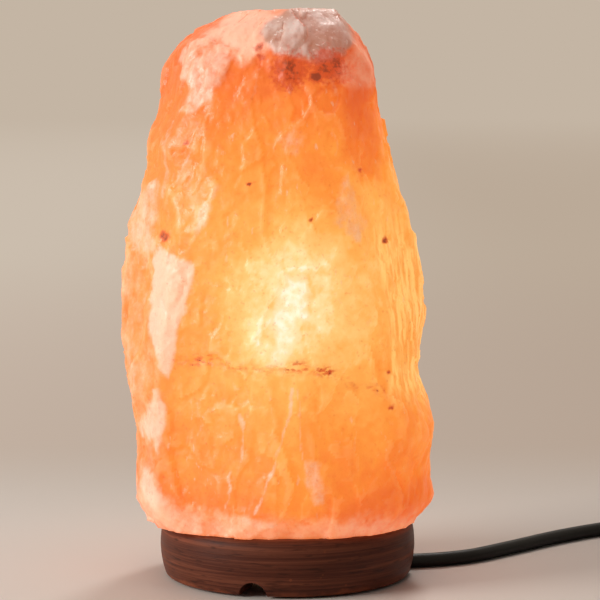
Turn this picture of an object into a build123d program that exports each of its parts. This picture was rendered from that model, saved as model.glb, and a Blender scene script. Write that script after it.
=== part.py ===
from build123d import *
from math import cos, degrees, hypot, pi, radians, sin, tan
import os

# Salt crystal lamp: a rough salt crystal, bored from below, is screwed to a turned wooden base.
# A clip-in lampholder with its bulb is pushed up through the base into the crystal's bore, and
# its mains lead leaves through a half-round notch in the foot.  An in-line rocker switch and a
# flat two-pin plug are on the lead.
# Millimetres, +Z up.  The origin is on the base's turning axis, on the table: x runs to the
# right and y away from the front.

# ---------------------------------------------------------------- wooden base
BASE_HEIGHT = 24.0  # table to the seat of the crystal
BASE_RADIUS = 54.0  # widest, at the belly of the turned side
BASE_FOOT_RADIUS = 51.6
BASE_TOP_RADIUS = 52.6  # before its edge is rounded
BASE_TOP_ROUND = 4.5
BASE_FOOT_ROUND = 1.4
BASE_BORE_RADIUS = 21.0
RECESS_RADIUS = 32.0
RECESS_DEPTH = 8.0
NOTCH_RADIUS = 5.9
CORD_AZIMUTH = 10.0  # the notch that the lead leaves by, from +X towards the back
NOTCH_AZIMUTHS = (CORD_AZIMUTH, 129.0, 254.4)

# ---------------------------------------------------------------- felt pads, screws, wall plugs
PAD_RADIUS = 6.0
PAD_THICKNESS = 2.0
PAD_SINK = 1.2  # depth of the pad's seat in the wood
PAD_CIRCLE = 41.5
SCREW_CIRCLE = 39.0
SCREW_TURN = 14.0  # a screw and a pad lie this far either side of the middle between two notches
SCREW_RADIUS = 2.25
SCREW_CORE_RADIUS = 1.6
SCREW_HEAD_RADIUS = 4.2
SCREW_LENGTH = 42.0
SCREW_SINK = 2.0  # the head lies this far inside the foot
SCREW_PITCH = 2.2
CROSS_WIDTH = 0.9  # arms of the cross in the screw's head
CROSS_DEPTH = 1.2
PLUG_RADIUS = 4.0
PLUG_LENGTH = 26.0
PLUG_BARB = 0.35
PLUG_PITCH = 4.0

# ---------------------------------------------------------------- salt crystal
CAVITY_RADIUS = 22.0
CAVITY_HEADROOM = 9.5  # air between the bulb and the round end of the bore
CRYSTAL_SECTORS = 24
CRYSTAL_SQUARENESS = 2.3  # 2 is an ellipse, more is squarer
CRYSTAL_APEX_RISE = 1.2  # the middle of the top above its rim
# Each level: height above the seat, then the reach to the left, right, front and back.
CRYSTAL_LEVELS = (
    (0.0, 60.3, 54.5, 48.0, 47.0),
    (7.5, 65.0, 62.0, 51.5, 50.0),
    (22.0, 64.4, 60.2, 54.0, 52.0),
    (42.0, 64.4, 61.0, 55.0, 53.0),
    (55.0, 65.0, 57.5, 55.0, 54.0),
    (78.0, 68.9, 56.0, 54.0, 54.5),
    (104.0, 69.5, 56.2, 52.0, 53.5),
    (122.5, 68.0, 53.2, 49.5, 51.0),
    (141.0, 61.0, 46.5, 45.5, 48.0),
    (160.0, 58.2, 41.6, 42.0, 44.0),
    (176.5, 54.2, 38.0, 39.0, 40.5),
    (191.5, 51.5, 36.2, 35.0, 36.0),
    (202.0, 43.5, 31.0, 30.0, 30.5),
    (209.5, 33.5, 26.0, 24.0, 23.0),
    (213.4, 20.5, 19.5, 16.0, 14.0),
)
# Flat faces where the crystal was split: azimuth of the face's normal, its distance from the
# axis at its middle height, that height above the seat, and its lean (top towards the axis).
CRYSTAL_FACES = (
    (214.0, 60.0, 105.0, 5.0),
    (247.0, 52.5, 50.0, -1.0),
    (292.0, 52.0, 75.0, 4.0),
    (322.0, 52.5, 95.0, 9.0),
    (205.0, 49.0, 178.0, 16.0),
    (262.0, 38.0, 175.0, 12.0),
    (18.0, 52.0, 92.0, 4.0),
    (62.0, 52.0, 60.0, 3.0),
    (108.0, 50.0, 100.0, 7.0),
    (152.0, 60.0, 70.0, 2.0),
)

# ---------------------------------------------------------------- lampholder
HOLDER_BOTTOM = 21.0  # height of the holder's lower end above the table
HOLDER_HEIGHT = 57.0
HOLDER_RADIUS = 14.0
HOLDER_WALL = 1.8
HOLDER_CAP_HEIGHT = 18.0
HOLDER_FLOOR = 2.4
SPIGOT_LENGTH = 5.0
LEDGE_HEIGHT = 5.0  # above the cap's rim, where the ceramic block sits
RIM_THICKNESS = 2.0
RIM_HOLE_RADIUS = 9.3
BLOCK_HEIGHT = 8.0
GRIP_BORE_RADIUS = 3.25
GRIP_RADIUS = 5.0
GRIP_COLLAR_RADIUS = 7.0
GRIP_COLLAR_HEIGHT = 3.8
GRIP_NUT_RADIUS = 8.0
GRIP_NUT_HEIGHT = 3.0
GRIP_SCREW_RADIUS = 1.2
GRIP_SCREW_PROUD = 0.5
SLOT_WIDTH = 0.5  # in the heads of the small screws
SLOT_DEPTH = 0.5
CLIP_THICKNESS = 0.6
CLIP_RING_HEIGHT = 8.0
CLIP_RING_BOTTOM = 7.0  # above the holder's lower end
CLIP_ARM_WIDTH = 7.0
CLIP_ARM_REACH_DOWN = 16.0
TERMINAL_OFFSET = 6.5
TERMINAL_SIZE = 5.0
TERMINAL_HEIGHT = 7.0
TERMINAL_SCREW_RADIUS = 1.2
TERMINAL_SCREW_PROUD = 1.5
CONTACT_RADIUS = 3.2
STEM_SIZE = 1.0  # radius of the contact stems through the ceramic block
SHEATH_STRIP = 1.5  # the lead's sheath ends this far above the grip's nut
FIT_GAP = 0.2  # between pieces of one assembly that only slip together
RUN_GAP = 0.3  # between pieces that move past each other

# ---------------------------------------------------------------- bulb with a small screw cap
BULB_LENGTH = 85.0
BULB_RADIUS = 12.5
BULB_WALL = 0.7
BULB_NECK_RADIUS = 7.9
BULB_SHOULDER = 9.0  # height of the shoulder over the cap
BULB_CAP_HEIGHT = 25.0
BULB_SKIRT_RADIUS = 8.5
BULB_SKIRT_HEIGHT = 4.0
BULB_SINK = 23.5  # tip contact below the holder's rim
THREAD_CREST_RADIUS = 6.95
THREAD_ROOT_RADIUS = 6.15
THREAD_PITCH = 2.822
THREAD_TURNS = 5
CAP_WALL = 0.3
TIP_RADIUS = 2.2
TIP_HEIGHT = 1.0
STEM_RADIUS = 2.2
STEM_TOP = 21.0  # above the bulb's cap
WIRE_RADIUS = 0.35
FILAMENT_RADIUS = 0.3
FILAMENT_SPAN = 7.0
FILAMENT_RISE = 14.0
LEAD_RISE = 10.0

# ---------------------------------------------------------------- mains lead
CORD_RADIUS = 3.0
CORD_LIFT = 0.1  # the lead lies on the table with this small gap
CORE_RADIUS = 1.1
KNEE_SHARE = 0.42  # where the lead starts to bend under its grip, of the drop to the table
# Where the lead runs, as it lies: from the foot of the base to the switch, then to the coil.
CORD_START_RUN = 20.0  # straight out of the notch
CORD_TO_SWITCH = (
    (95.9, 35.1, 0.0),
    (121.5, 62.5, 0.0),
    (146.5, 82.5, 0.0),
    (168.0, 93.5, 0.0),
    (190.0, 98.5, 0.0),
    (209.0, 98.0, 0.0),
    (226.0, 90.5, 1.6),
)
COIL_CENTRE = (192.0, -42.0)
COIL_INNER_RADIUS = 24.0  # centre line of the innermost turn
COIL_TURNS_BELOW = 3
COIL_LAYERS = 2
COIL_ROUND = 2.4
TIE_THICKNESS = 0.6
TIE_WIDTH = 12.0
TIE_AZIMUTH = 105.0
SWITCH_FROM_COIL = 40.0  # the coil's middle to the switch's near end
SWITCH_RUN_IN = 18.0  # straight lead before the switch
SWITCH_RUN_OUT = 11.0  # straight lead after the switch, then the run in which it comes down
COIL_RUN_DOWN = 13.0
# Off the coil the lead turns back on itself and rises to the plug, which lies on the coil.  The
# points are from the coil's middle, with their height as a share of the rise.
COIL_RUN_OUT = 36.0
LOOP_SHAPE = ((60.0, 0.33), (71.5, 0.69), (60.0, 1.0))
PLUG_RUN_IN = 19.0  # straight lead before the plug
PLUG_LIE_GAP = 0.1

# ---------------------------------------------------------------- in-line switch
SWITCH_LENGTH = 62.0
SWITCH_WIDTH = 25.0
SWITCH_SPLIT = 7.9  # height of the joint between its two shells: the lead's centre line
SWITCH_HEIGHT = 17.0
SWITCH_WALL = 1.6
SWITCH_CORNER = 7.0
SWITCH_NOSE = 16.0  # width of each end, where the lead enters
SWITCH_NOSE_LENGTH = 10.0
SWITCH_EDGE_ROUND = 1.0
SWITCH_ENTRY = 2.0  # how far the lead goes into the shell's end
ROCKER_LENGTH = 20.0
ROCKER_WIDTH = 10.0
ROCKER_HEIGHT = 7.0
ROCKER_TILT = 8.0
ROCKER_DISH = 1.2
ROCKER_TAPER = 1.2  # each end runs in by this much down to the shoulder
ROCKER_SHOULDER = 3.0  # below the top of the shell
ROCKER_KEEL = 3.5  # half the length of its lower edge
PIVOT_RADIUS = 1.0
PIVOT_HEIGHT = 12.6
PIVOT_LENGTH = 16.0
CHEEK_THICKNESS = 1.8  # the walls that hold the pivot
CHEEK_LENGTH = 8.0
STRIP_DROP = 1.8  # from the pivot down to the moving contact
CONTACT_THICKNESS = 0.8
CONTACT_WIDTH = 3.0
BLADE_THICKNESS = 1.2
POST_LENGTH = 2.0
CONTACT_OFFSET = 7.5
CONTACT_LEG = 0.9
CONTACT_LEG_RADIUS = 1.0
SWITCH_TERMINAL_X = 12.0
SWITCH_TERMINAL_SIDE = 3.8
SWITCH_TERMINAL_RISE = 5.2
THROUGH_Y = 7.0
THROUGH_WIDTH = 2.4
THROUGH_THICKNESS = 2.0
SHELL_SCREW_RADIUS = 1.3
SHELL_SCREW_OFFSET = 17.5
SHELL_SCREW_HEAD = 2.0
SHELL_SCREW_SINK = 0.5
CORE_RUN_OUT = 5.5  # straight core inside the switch's end, and before its terminal
CORE_RUN_IN = 2.5
BOSS_RADIUS = 2.6

# ---------------------------------------------------------------- plug
PLUG_BODY_LENGTH = 34.0
PLUG_BODY_WIDTH = 35.3
PLUG_BODY_HEIGHT = 13.7
PLUG_TAIL_WIDTH = 13.0
PLUG_TAIL_FLARE = 1.0  # each side is this much wider at the end of the tail
PLUG_TAIL_LENGTH = 10.2
PLUG_SHOULDER = 21.1  # where it has its full width
PLUG_PLAN_ROUND = 7.0
PLUG_BODY_ROUND = 3.0
BOOT_LENGTH = 24.0
BOOT_RADIUS = 5.4
BOOT_TIP_RADIUS = 4.1
BOOT_RIBS = 4
BOOT_COLLAR = 3.0  # plain length before the first groove
BOOT_END = 1.0  # and after the last
BOOT_GROOVE = 1.0
BOOT_SLOPE = 0.8
PIN_RADIUS = 2.0
PIN_LENGTH = 19.0
PIN_SPACING = 18.6
PIN_ROOT = 8.0
SLEEVE_LENGTH = 10.0
SLEEVE_WALL = 0.4

# ---------------------------------------------------------------- places that follow
FOOT_Z = PAD_THICKNESS - PAD_SINK
RECESS_Z = FOOT_Z + RECESS_DEPTH
NOTCH_MIDDLES = [
    (a + b) / 2 for a, b in zip(NOTCH_AZIMUTHS, NOTCH_AZIMUTHS[1:] + (NOTCH_AZIMUTHS[0] + 360,))
]
SCREW_AZIMUTHS = [azimuth - SCREW_TURN for azimuth in NOTCH_MIDDLES]
PAD_AZIMUTHS = [azimuth + SCREW_TURN for azimuth in NOTCH_MIDDLES]

CAP_RIM_Z = HOLDER_BOTTOM + HOLDER_CAP_HEIGHT
RIM_Z = HOLDER_BOTTOM + HOLDER_HEIGHT
LEDGE_Z = CAP_RIM_Z + LEDGE_HEIGHT
BLOCK_TOP_Z = LEDGE_Z + BLOCK_HEIGHT
HOUSING_BORE = HOLDER_RADIUS - HOLDER_WALL
SPIGOT_RADIUS = HOUSING_BORE - FIT_GAP
LEDGE_BORE = SPIGOT_RADIUS - HOLDER_WALL + FIT_GAP
GRIP_BOTTOM_Z = HOLDER_BOTTOM - FIT_GAP - GRIP_COLLAR_HEIGHT
GRIP_SCREW_Z = GRIP_BOTTOM_Z + GRIP_COLLAR_HEIGHT / 2
GRIP_SCREW_AZIMUTH = NOTCH_MIDDLES[0]
NUT_BOTTOM_Z = HOLDER_BOTTOM + HOLDER_FLOOR
NUT_TOP_Z = NUT_BOTTOM_Z + GRIP_NUT_HEIGHT
SHEATH_TOP_Z = NUT_TOP_Z + SHEATH_STRIP
TERMINAL_TOP_Z = LEDGE_Z - FIT_GAP
TERMINAL_BOTTOM_Z = TERMINAL_TOP_Z - TERMINAL_HEIGHT
TERMINAL_SCREW_Z = TERMINAL_BOTTOM_Z + TERMINAL_HEIGHT * 0.4
STEM_HOLE = STEM_SIZE + FIT_GAP

TIP_Z = RIM_Z - BULB_SINK
BULB_CAP_TOP_Z = TIP_Z + BULB_CAP_HEIGHT
BULB_TOP_Z = TIP_Z + BULB_LENGTH
CAVITY_TOP_Z = BULB_TOP_Z + CAVITY_HEADROOM
THREAD_START_Z = TIP_Z + 3.5
THREAD_END_Z = THREAD_START_Z + THREAD_TURNS * THREAD_PITCH
STEM_TOP_Z = BULB_CAP_TOP_Z + STEM_TOP
FILAMENT_TOP_Z = STEM_TOP_Z + LEAD_RISE + FILAMENT_RISE

CORD_Z = CORD_RADIUS + CORD_LIFT
COIL_OUTER_RADIUS = COIL_INNER_RADIUS + COIL_TURNS_BELOW * 2 * CORD_RADIUS
COIL_BOTTOM_Z = TIE_THICKNESS + CORD_LIFT
COIL_HEIGHT = 2 * CORD_RADIUS * COIL_LAYERS
SWITCH_X = COIL_CENTRE[0] + COIL_OUTER_RADIUS
SWITCH_Z = CORD_LIFT
SWITCH_CORD_Z = SWITCH_Z + SWITCH_SPLIT
SWITCH_START_Y = COIL_CENTRE[1] + SWITCH_FROM_COIL
SWITCH_END_Y = SWITCH_START_Y + SWITCH_LENGTH
SWITCH_MIDDLE_Y = (SWITCH_START_Y + SWITCH_END_Y) / 2
FLOOR_Z = SWITCH_WALL + FIT_GAP / 4
BOSS_Y = SWITCH_WIDTH / 2 - SWITCH_WALL - BOSS_RADIUS
SHELL_SCREW_TOP = SWITCH_HEIGHT - SWITCH_WALL - 2.0
PLUG_X = COIL_CENTRE[0]
COIL_END_X = COIL_CENTRE[0] - COIL_OUTER_RADIUS + CORD_RADIUS
PLUG_Z = COIL_BOTTOM_Z + COIL_HEIGHT + PLUG_LIE_GAP + PLUG_BODY_HEIGHT / 2
BOOT_START_Y = COIL_CENTRE[1] + LOOP_SHAPE[-1][0] - PLUG_RUN_IN
PLUG_START_Y = BOOT_START_Y - BOOT_LENGTH
PIN_THIN_RADIUS = PIN_RADIUS - SLEEVE_WALL - FIT_GAP / 4


UPRIGHT = (Align.CENTER, Align.CENTER, Align.MIN)
HANGING = (Align.CENTER, Align.CENTER, Align.MAX)


# ---------------------------------------------------------------- helpers
def turned(points):
    """A closed outline of (radius, height) points, turned about the Z axis."""
    outline = Polyline(*[(r, 0, z) for r, z in points], close=True)
    return revolve(make_face(outline), Axis.Z, 360)


def ring(inner, outer, bottom, top):
    """A plain sleeve about the Z axis."""
    return turned([(inner, bottom), (outer, bottom), (outer, top), (inner, top)])


def rod(radius, bottom, top):
    """A plain cylinder that stands on the Z axis."""
    return Pos(0, 0, bottom) * Cylinder(radius, top - bottom, align=UPRIGHT)


def ridges(low, high, start, pitch, turns):
    """Outline points of annular ridges that stand for a thread: low, high, low and so on."""
    points = [(low, start)]
    for turn in range(turns):
        points.append((high, start + (turn + 0.5) * pitch))
        points.append((low, start + (turn + 1) * pitch))
    return points


def polar(radius, azimuth):
    """x and y of a point at a radius and an azimuth in degrees."""
    return radius * cos(radians(azimuth)), radius * sin(radians(azimuth))


def slot(radius, height):
    """What a screwdriver slot takes out of a small upright screw, down and up from a height."""
    return Pos(0, 0, height) * Box(2 * radius + 1, SLOT_WIDTH, 2 * SLOT_DEPTH)


def gathered(solids):
    """Several like solids as one group."""
    return Compound(children=list(solids))


def bend_radii(points):
    """For each corner of a route, 0.45 of its shorter run over the tangent of half the turn."""
    radii = []
    for before, corner, after in zip(points, points[1:], points[2:]):
        first = Vector(corner) - Vector(before)
        second = Vector(after) - Vector(corner)
        half_turn = radians(first.get_angle(second)) / 2
        radii.append(0.45 * min(first.length, second.length) / tan(half_turn))
    return radii


def round_bar(path, radius):
    """A round section swept along a path."""
    section = Plane(origin=path @ 0, z_dir=path % 0) * Circle(radius)
    return sweep(section, path=path)


def tube(points, radius, radii=None):
    """A round bar along straight runs joined by tangent arcs."""
    return round_bar(FilletPolyline(*points, radius=radii or bend_radii(points)), radius)


def cord_tube(name, points):
    """A stretch of the lead, with its radii and its volume printed."""
    radii = bend_radii(points)
    path = FilletPolyline(*points, radius=radii)
    solid = round_bar(path, CORD_RADIUS)
    ratio = solid.volume / (pi * CORD_RADIUS**2 * path.length)
    print(f"{name}: {path.length:.1f} mm, radii {[round(r) for r in radii]}, volume ratio {ratio:.4f}")
    return solid


# ---------------------------------------------------------------- crystal
def level_reach(height):
    """Left, right, front and back reach of the crystal at a height above its seat."""
    for low, high in zip(CRYSTAL_LEVELS, CRYSTAL_LEVELS[1:]):
        if height <= high[0]:
            share = (height - low[0]) / (high[0] - low[0])
            return [a + share * (b - a) for a, b in zip(low[1:], high[1:])]
    return list(CRYSTAL_LEVELS[-1][1:])


def crystal_radius(azimuth, height):
    """Distance of the crystal's skin from the axis: a squarish oval, cut by the split faces."""
    left, right, front, back = level_reach(height)
    along, across = cos(radians(azimuth)), sin(radians(azimuth))
    reach_x = right if along > 0 else left
    reach_y = back if across > 0 else front
    n = CRYSTAL_SQUARENESS
    radius = (abs(along / reach_x) ** n + abs(across / reach_y) ** n) ** (-1 / n)
    for face_azimuth, distance, middle, lean in CRYSTAL_FACES:
        facing = cos(radians(azimuth - face_azimuth))
        limit = distance - tan(radians(lean)) * (height - middle)
        if facing > 0.2:
            radius = min(radius, limit / facing)
    return radius


def salt_crystal():
    rings = []
    for level in CRYSTAL_LEVELS:
        z = BASE_HEIGHT + level[0]
        corners = []
        for sector in range(CRYSTAL_SECTORS):
            azimuth = 360 * sector / CRYSTAL_SECTORS
            x, y = polar(crystal_radius(azimuth, level[0]), azimuth)
            corners.append(Vector(x, y, z))
        rings.append(corners)
    faces = [Face(Wire.make_polygon(rings[0]))]
    count = CRYSTAL_SECTORS
    for low, high in zip(rings, rings[1:]):
        for i in range(count):
            j = (i + 1) % count
            faces.append(Face(Wire.make_polygon([low[i], low[j], high[j]])))
            faces.append(Face(Wire.make_polygon([low[i], high[j], high[i]])))
    top = CRYSTAL_LEVELS[-1]
    apex = Vector((top[2] - top[1]) / 2, (top[4] - top[3]) / 2, BASE_HEIGHT + top[0] + CRYSTAL_APEX_RISE)
    for i in range(count):
        faces.append(Face(Wire.make_polygon([rings[-1][i], rings[-1][(i + 1) % count], apex])))
    crystal = Solid(Shell(faces))
    crystal -= rod(CAVITY_RADIUS, BASE_HEIGHT - 1, CAVITY_TOP_Z - CAVITY_RADIUS)
    crystal -= Pos(0, 0, CAVITY_TOP_Z - CAVITY_RADIUS) * Sphere(CAVITY_RADIUS)
    for azimuth in SCREW_AZIMUTHS:
        hole = rod(PLUG_RADIUS + FIT_GAP, BASE_HEIGHT - 1, BASE_HEIGHT + PLUG_LENGTH + FIT_GAP)
        crystal -= Pos(*polar(SCREW_CIRCLE, azimuth), 0) * hole
    return crystal


# ---------------------------------------------------------------- base and what fixes it
def circles_of(solid, radius):
    """The round edges of a solid that have a radius."""
    return solid.edges().filter_by(GeomType.CIRCLE).filter_by(lambda edge: abs(edge.radius - radius) < 0.01)


def wooden_base():
    belly_z = (FOOT_Z + BASE_HEIGHT) / 2
    side = ThreePointArc(
        (BASE_FOOT_RADIUS, 0, FOOT_Z), (BASE_RADIUS, 0, belly_z), (BASE_TOP_RADIUS, 0, BASE_HEIGHT)
    )
    rest = Polyline(
        (BASE_TOP_RADIUS, 0, BASE_HEIGHT),
        (BASE_BORE_RADIUS, 0, BASE_HEIGHT),
        (BASE_BORE_RADIUS, 0, RECESS_Z),
        (RECESS_RADIUS, 0, RECESS_Z),
        (RECESS_RADIUS, 0, FOOT_Z),
        (BASE_FOOT_RADIUS, 0, FOOT_Z),
    )
    base = revolve(make_face(side + rest), Axis.Z, 360)
    base = fillet(circles_of(base, BASE_TOP_RADIUS), BASE_TOP_ROUND)
    base = fillet(circles_of(base, BASE_FOOT_RADIUS), BASE_FOOT_ROUND)
    for azimuth in NOTCH_AZIMUTHS:
        middle = (RECESS_RADIUS + BASE_RADIUS) / 2
        x, y = polar(middle, azimuth)
        length = BASE_RADIUS - RECESS_RADIUS + 2 * NOTCH_RADIUS
        base -= Pos(x, y, FOOT_Z) * Rot(0, 0, azimuth) * Rot(0, 90, 0) * Cylinder(NOTCH_RADIUS, length)
    for azimuth in SCREW_AZIMUTHS:
        base -= Pos(*polar(SCREW_CIRCLE, azimuth), 0) * screw_hole()
    for azimuth in PAD_AZIMUTHS:
        seat = rod(PAD_RADIUS + FIT_GAP, FOOT_Z - 1, FOOT_Z + PAD_SINK)
        base -= Pos(*polar(PAD_CIRCLE, azimuth), 0) * seat
    return base


def screw_hole():
    """Clearance hole for a countersunk screw, with its mouth in the foot."""
    head = SCREW_HEAD_RADIUS + FIT_GAP
    shank = SCREW_RADIUS + FIT_GAP
    cone_z = FOOT_Z + SCREW_SINK
    return turned([
        (0, FOOT_Z - 1), (head, FOOT_Z - 1), (head, cone_z),
        (shank, cone_z + head - shank), (shank, BASE_HEIGHT + 1), (0, BASE_HEIGHT + 1),
    ])


def fixing_screw():
    """Countersunk wood screw, head down: a plain shank in the base, then a ridged thread."""
    head_z = FOOT_Z + SCREW_SINK
    thread_z = BASE_HEIGHT + SCREW_PITCH
    tip_z = head_z + SCREW_LENGTH
    turns = int((tip_z - 2 * SCREW_PITCH - thread_z) / SCREW_PITCH)
    outline = [(0, head_z), (SCREW_HEAD_RADIUS, head_z)]
    outline.append((SCREW_RADIUS, head_z + SCREW_HEAD_RADIUS - SCREW_RADIUS))
    outline.append((SCREW_RADIUS, thread_z - SCREW_PITCH / 2))
    outline += ridges(SCREW_CORE_RADIUS, SCREW_RADIUS, thread_z, SCREW_PITCH, turns)
    outline.append((0, tip_z))
    screw = turned(outline)
    arm = Box(2 * SCREW_RADIUS, CROSS_WIDTH, 2 * CROSS_DEPTH)
    for turn in (0, 90):
        screw -= Pos(0, 0, head_z) * Rot(0, 0, turn) * arm
    return screw


def wall_plug():
    """Nylon wall plug in the crystal, barbed outside, bored for the screw."""
    bore = SCREW_RADIUS + FIT_GAP / 2
    turns = int(PLUG_LENGTH / PLUG_PITCH)
    outer = ridges(PLUG_RADIUS - PLUG_BARB, PLUG_RADIUS, BASE_HEIGHT, PLUG_PITCH, turns)
    top = BASE_HEIGHT + PLUG_LENGTH
    return turned([(bore, BASE_HEIGHT)] + outer + [(PLUG_RADIUS - 1, top), (bore, top)])


def felt_pad():
    return rod(PAD_RADIUS, 0, PAD_THICKNESS)


def round_the_base(solid, radius, azimuths):
    """Copies of a solid on a circle about the axis."""
    return gathered(Pos(*polar(radius, azimuth), 0) * solid for azimuth in azimuths)


# ---------------------------------------------------------------- lampholder
def holder_cap():
    """Cup that closes the holder from below, with a hole for the cord grip."""
    cap = ring(0, HOLDER_RADIUS, HOLDER_BOTTOM, CAP_RIM_Z)
    cap = fillet(cap.edges().sort_by(Axis.Z)[0], 1.2)
    cap -= rod(HOUSING_BORE, NUT_BOTTOM_Z, CAP_RIM_Z + 1)
    return cap - rod(GRIP_RADIUS + FIT_GAP, HOLDER_BOTTOM - 1, CAP_RIM_Z)


def holder_housing():
    """Sleeve over the ceramic block, with a spigot in the cap and a rim round the bulb's cap."""
    spigot_z = CAP_RIM_Z - SPIGOT_LENGTH
    return turned([
        (LEDGE_BORE, spigot_z), (SPIGOT_RADIUS, spigot_z), (SPIGOT_RADIUS, CAP_RIM_Z + FIT_GAP / 2),
        (HOLDER_RADIUS, CAP_RIM_Z + FIT_GAP / 2), (HOLDER_RADIUS, RIM_Z - 1), (HOLDER_RADIUS - 1, RIM_Z),
        (RIM_HOLE_RADIUS, RIM_Z), (RIM_HOLE_RADIUS, RIM_Z - RIM_THICKNESS),
        (HOUSING_BORE, RIM_Z - RIM_THICKNESS), (HOUSING_BORE, LEDGE_Z), (LEDGE_BORE, LEDGE_Z),
    ])


def spring_clip():
    """Sprung steel ring round the holder, with three arms that press on the base's bore."""
    bottom = HOLDER_BOTTOM + CLIP_RING_BOTTOM
    inner = HOLDER_RADIUS + FIT_GAP / 4
    clip = ring(inner, inner + CLIP_THICKNESS, bottom, bottom + CLIP_RING_HEIGHT)
    half = CLIP_THICKNESS / 2
    start = (inner + half, 0, bottom + CLIP_RING_HEIGHT / 2)
    knee = (BASE_BORE_RADIUS - RUN_GAP - half, 0, BASE_HEIGHT - 5)
    toe = (BASE_BORE_RADIUS - 3, 0, bottom + CLIP_RING_HEIGHT / 2 - CLIP_ARM_REACH_DOWN)
    arm = extrude_strip([start, knee, toe], CLIP_THICKNESS, CLIP_ARM_WIDTH)
    for azimuth in NOTCH_MIDDLES:
        clip += Rot(0, 0, azimuth) * arm
    return clip


def extrude_strip(points, thickness, width):
    """A flat strip bent along points in the XZ plane and as wide as stated along Y."""
    outline = []
    for side in (0.5, -0.5):
        edge = []
        for i, (x, _, z) in enumerate(points):
            x0, _, z0 = points[max(i - 1, 0)]
            x1, _, z1 = points[min(i + 1, len(points) - 1)]
            length = hypot(x1 - x0, z1 - z0)
            shift = side * thickness / length
            edge.append((x + (z1 - z0) * shift, -width / 2, z - (x1 - x0) * shift))
        outline += edge if side > 0 else edge[::-1]
    return extrude(make_face(Polyline(*outline, close=True)), width, dir=(0, 1, 0))


def cord_grip():
    """Threaded bush in the cap's floor, with a collar below it."""
    top = NUT_TOP_Z + 1
    bush = turned([
        (GRIP_BORE_RADIUS, GRIP_BOTTOM_Z), (GRIP_COLLAR_RADIUS, GRIP_BOTTOM_Z),
        (GRIP_COLLAR_RADIUS, HOLDER_BOTTOM - FIT_GAP), (GRIP_RADIUS, HOLDER_BOTTOM - FIT_GAP),
        (GRIP_RADIUS, top), (GRIP_BORE_RADIUS, top),
    ])
    hole = rod(GRIP_SCREW_RADIUS + FIT_GAP / 2, 0, GRIP_COLLAR_RADIUS + 1)
    return bush - grip_screw_place(hole)


def grip_screw_place(piece):
    """A piece made on the Z axis, laid radially through the middle of the grip's collar."""
    return Pos(0, 0, GRIP_SCREW_Z) * Rot(0, 0, GRIP_SCREW_AZIMUTH) * Rot(0, 90, 0) * piece


def grip_nut():
    nut = extrude(RegularPolygon(GRIP_NUT_RADIUS, 6), GRIP_NUT_HEIGHT)
    nut -= rod(GRIP_RADIUS + FIT_GAP / 4, -1, GRIP_NUT_HEIGHT + 1)
    return Pos(0, 0, NUT_BOTTOM_Z) * nut


def grip_screw():
    """Nylon screw that presses on the lead through the grip's collar."""
    head = GRIP_COLLAR_RADIUS + GRIP_SCREW_PROUD
    screw = rod(GRIP_SCREW_RADIUS, CORD_RADIUS + FIT_GAP / 4, head)
    return grip_screw_place(screw - slot(GRIP_SCREW_RADIUS, head))


def contact_block():
    """Ceramic disc that carries the screw shell and both terminals."""
    block = ring(0, HOUSING_BORE - FIT_GAP, LEDGE_Z, BLOCK_TOP_Z)
    block -= rod(STEM_HOLE, LEDGE_Z - 1, BLOCK_TOP_Z + 1)
    return block - Pos(-TERMINAL_OFFSET, 0, 0) * rod(STEM_HOLE, LEDGE_Z - 1, BLOCK_TOP_Z + 1)


def terminal(offset):
    """Brass terminal under the block, bored from below for a core and from the side for a screw."""
    box = Box(TERMINAL_SIZE, TERMINAL_SIZE, TERMINAL_HEIGHT, align=HANGING)
    box = Pos(offset, 0, TERMINAL_TOP_Z) * box
    box -= Pos(offset, 0, 0) * rod(CORE_RADIUS + FIT_GAP, TERMINAL_BOTTOM_Z - 1, TERMINAL_TOP_Z - 1)
    hole = rod(TERMINAL_SCREW_RADIUS + FIT_GAP / 2, 0, 2 * TERMINAL_SIZE)
    return box - Pos(offset, 0, TERMINAL_SCREW_Z) * Rot(-90, 0, 0) * hole


def centre_contact():
    """Domed contact under the bulb's tip, its stem through the block, and its terminal."""
    dome_z = TIP_Z - FIT_GAP / 2
    flat_z = BLOCK_TOP_Z + FIT_GAP / 2
    contact = turned([
        (0, TERMINAL_TOP_Z - 1), (STEM_SIZE, TERMINAL_TOP_Z - 1), (STEM_SIZE, flat_z),
        (CONTACT_RADIUS, flat_z), (CONTACT_RADIUS, flat_z + 0.7),
        (CONTACT_RADIUS / 2, dome_z - 0.3), (0, dome_z),
    ])
    bar = Pos(TERMINAL_OFFSET / 2, 0, TERMINAL_TOP_Z - 0.5) * Box(TERMINAL_OFFSET, 2 * STEM_SIZE, 1.0)
    return contact + bar + terminal(TERMINAL_OFFSET)


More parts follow.
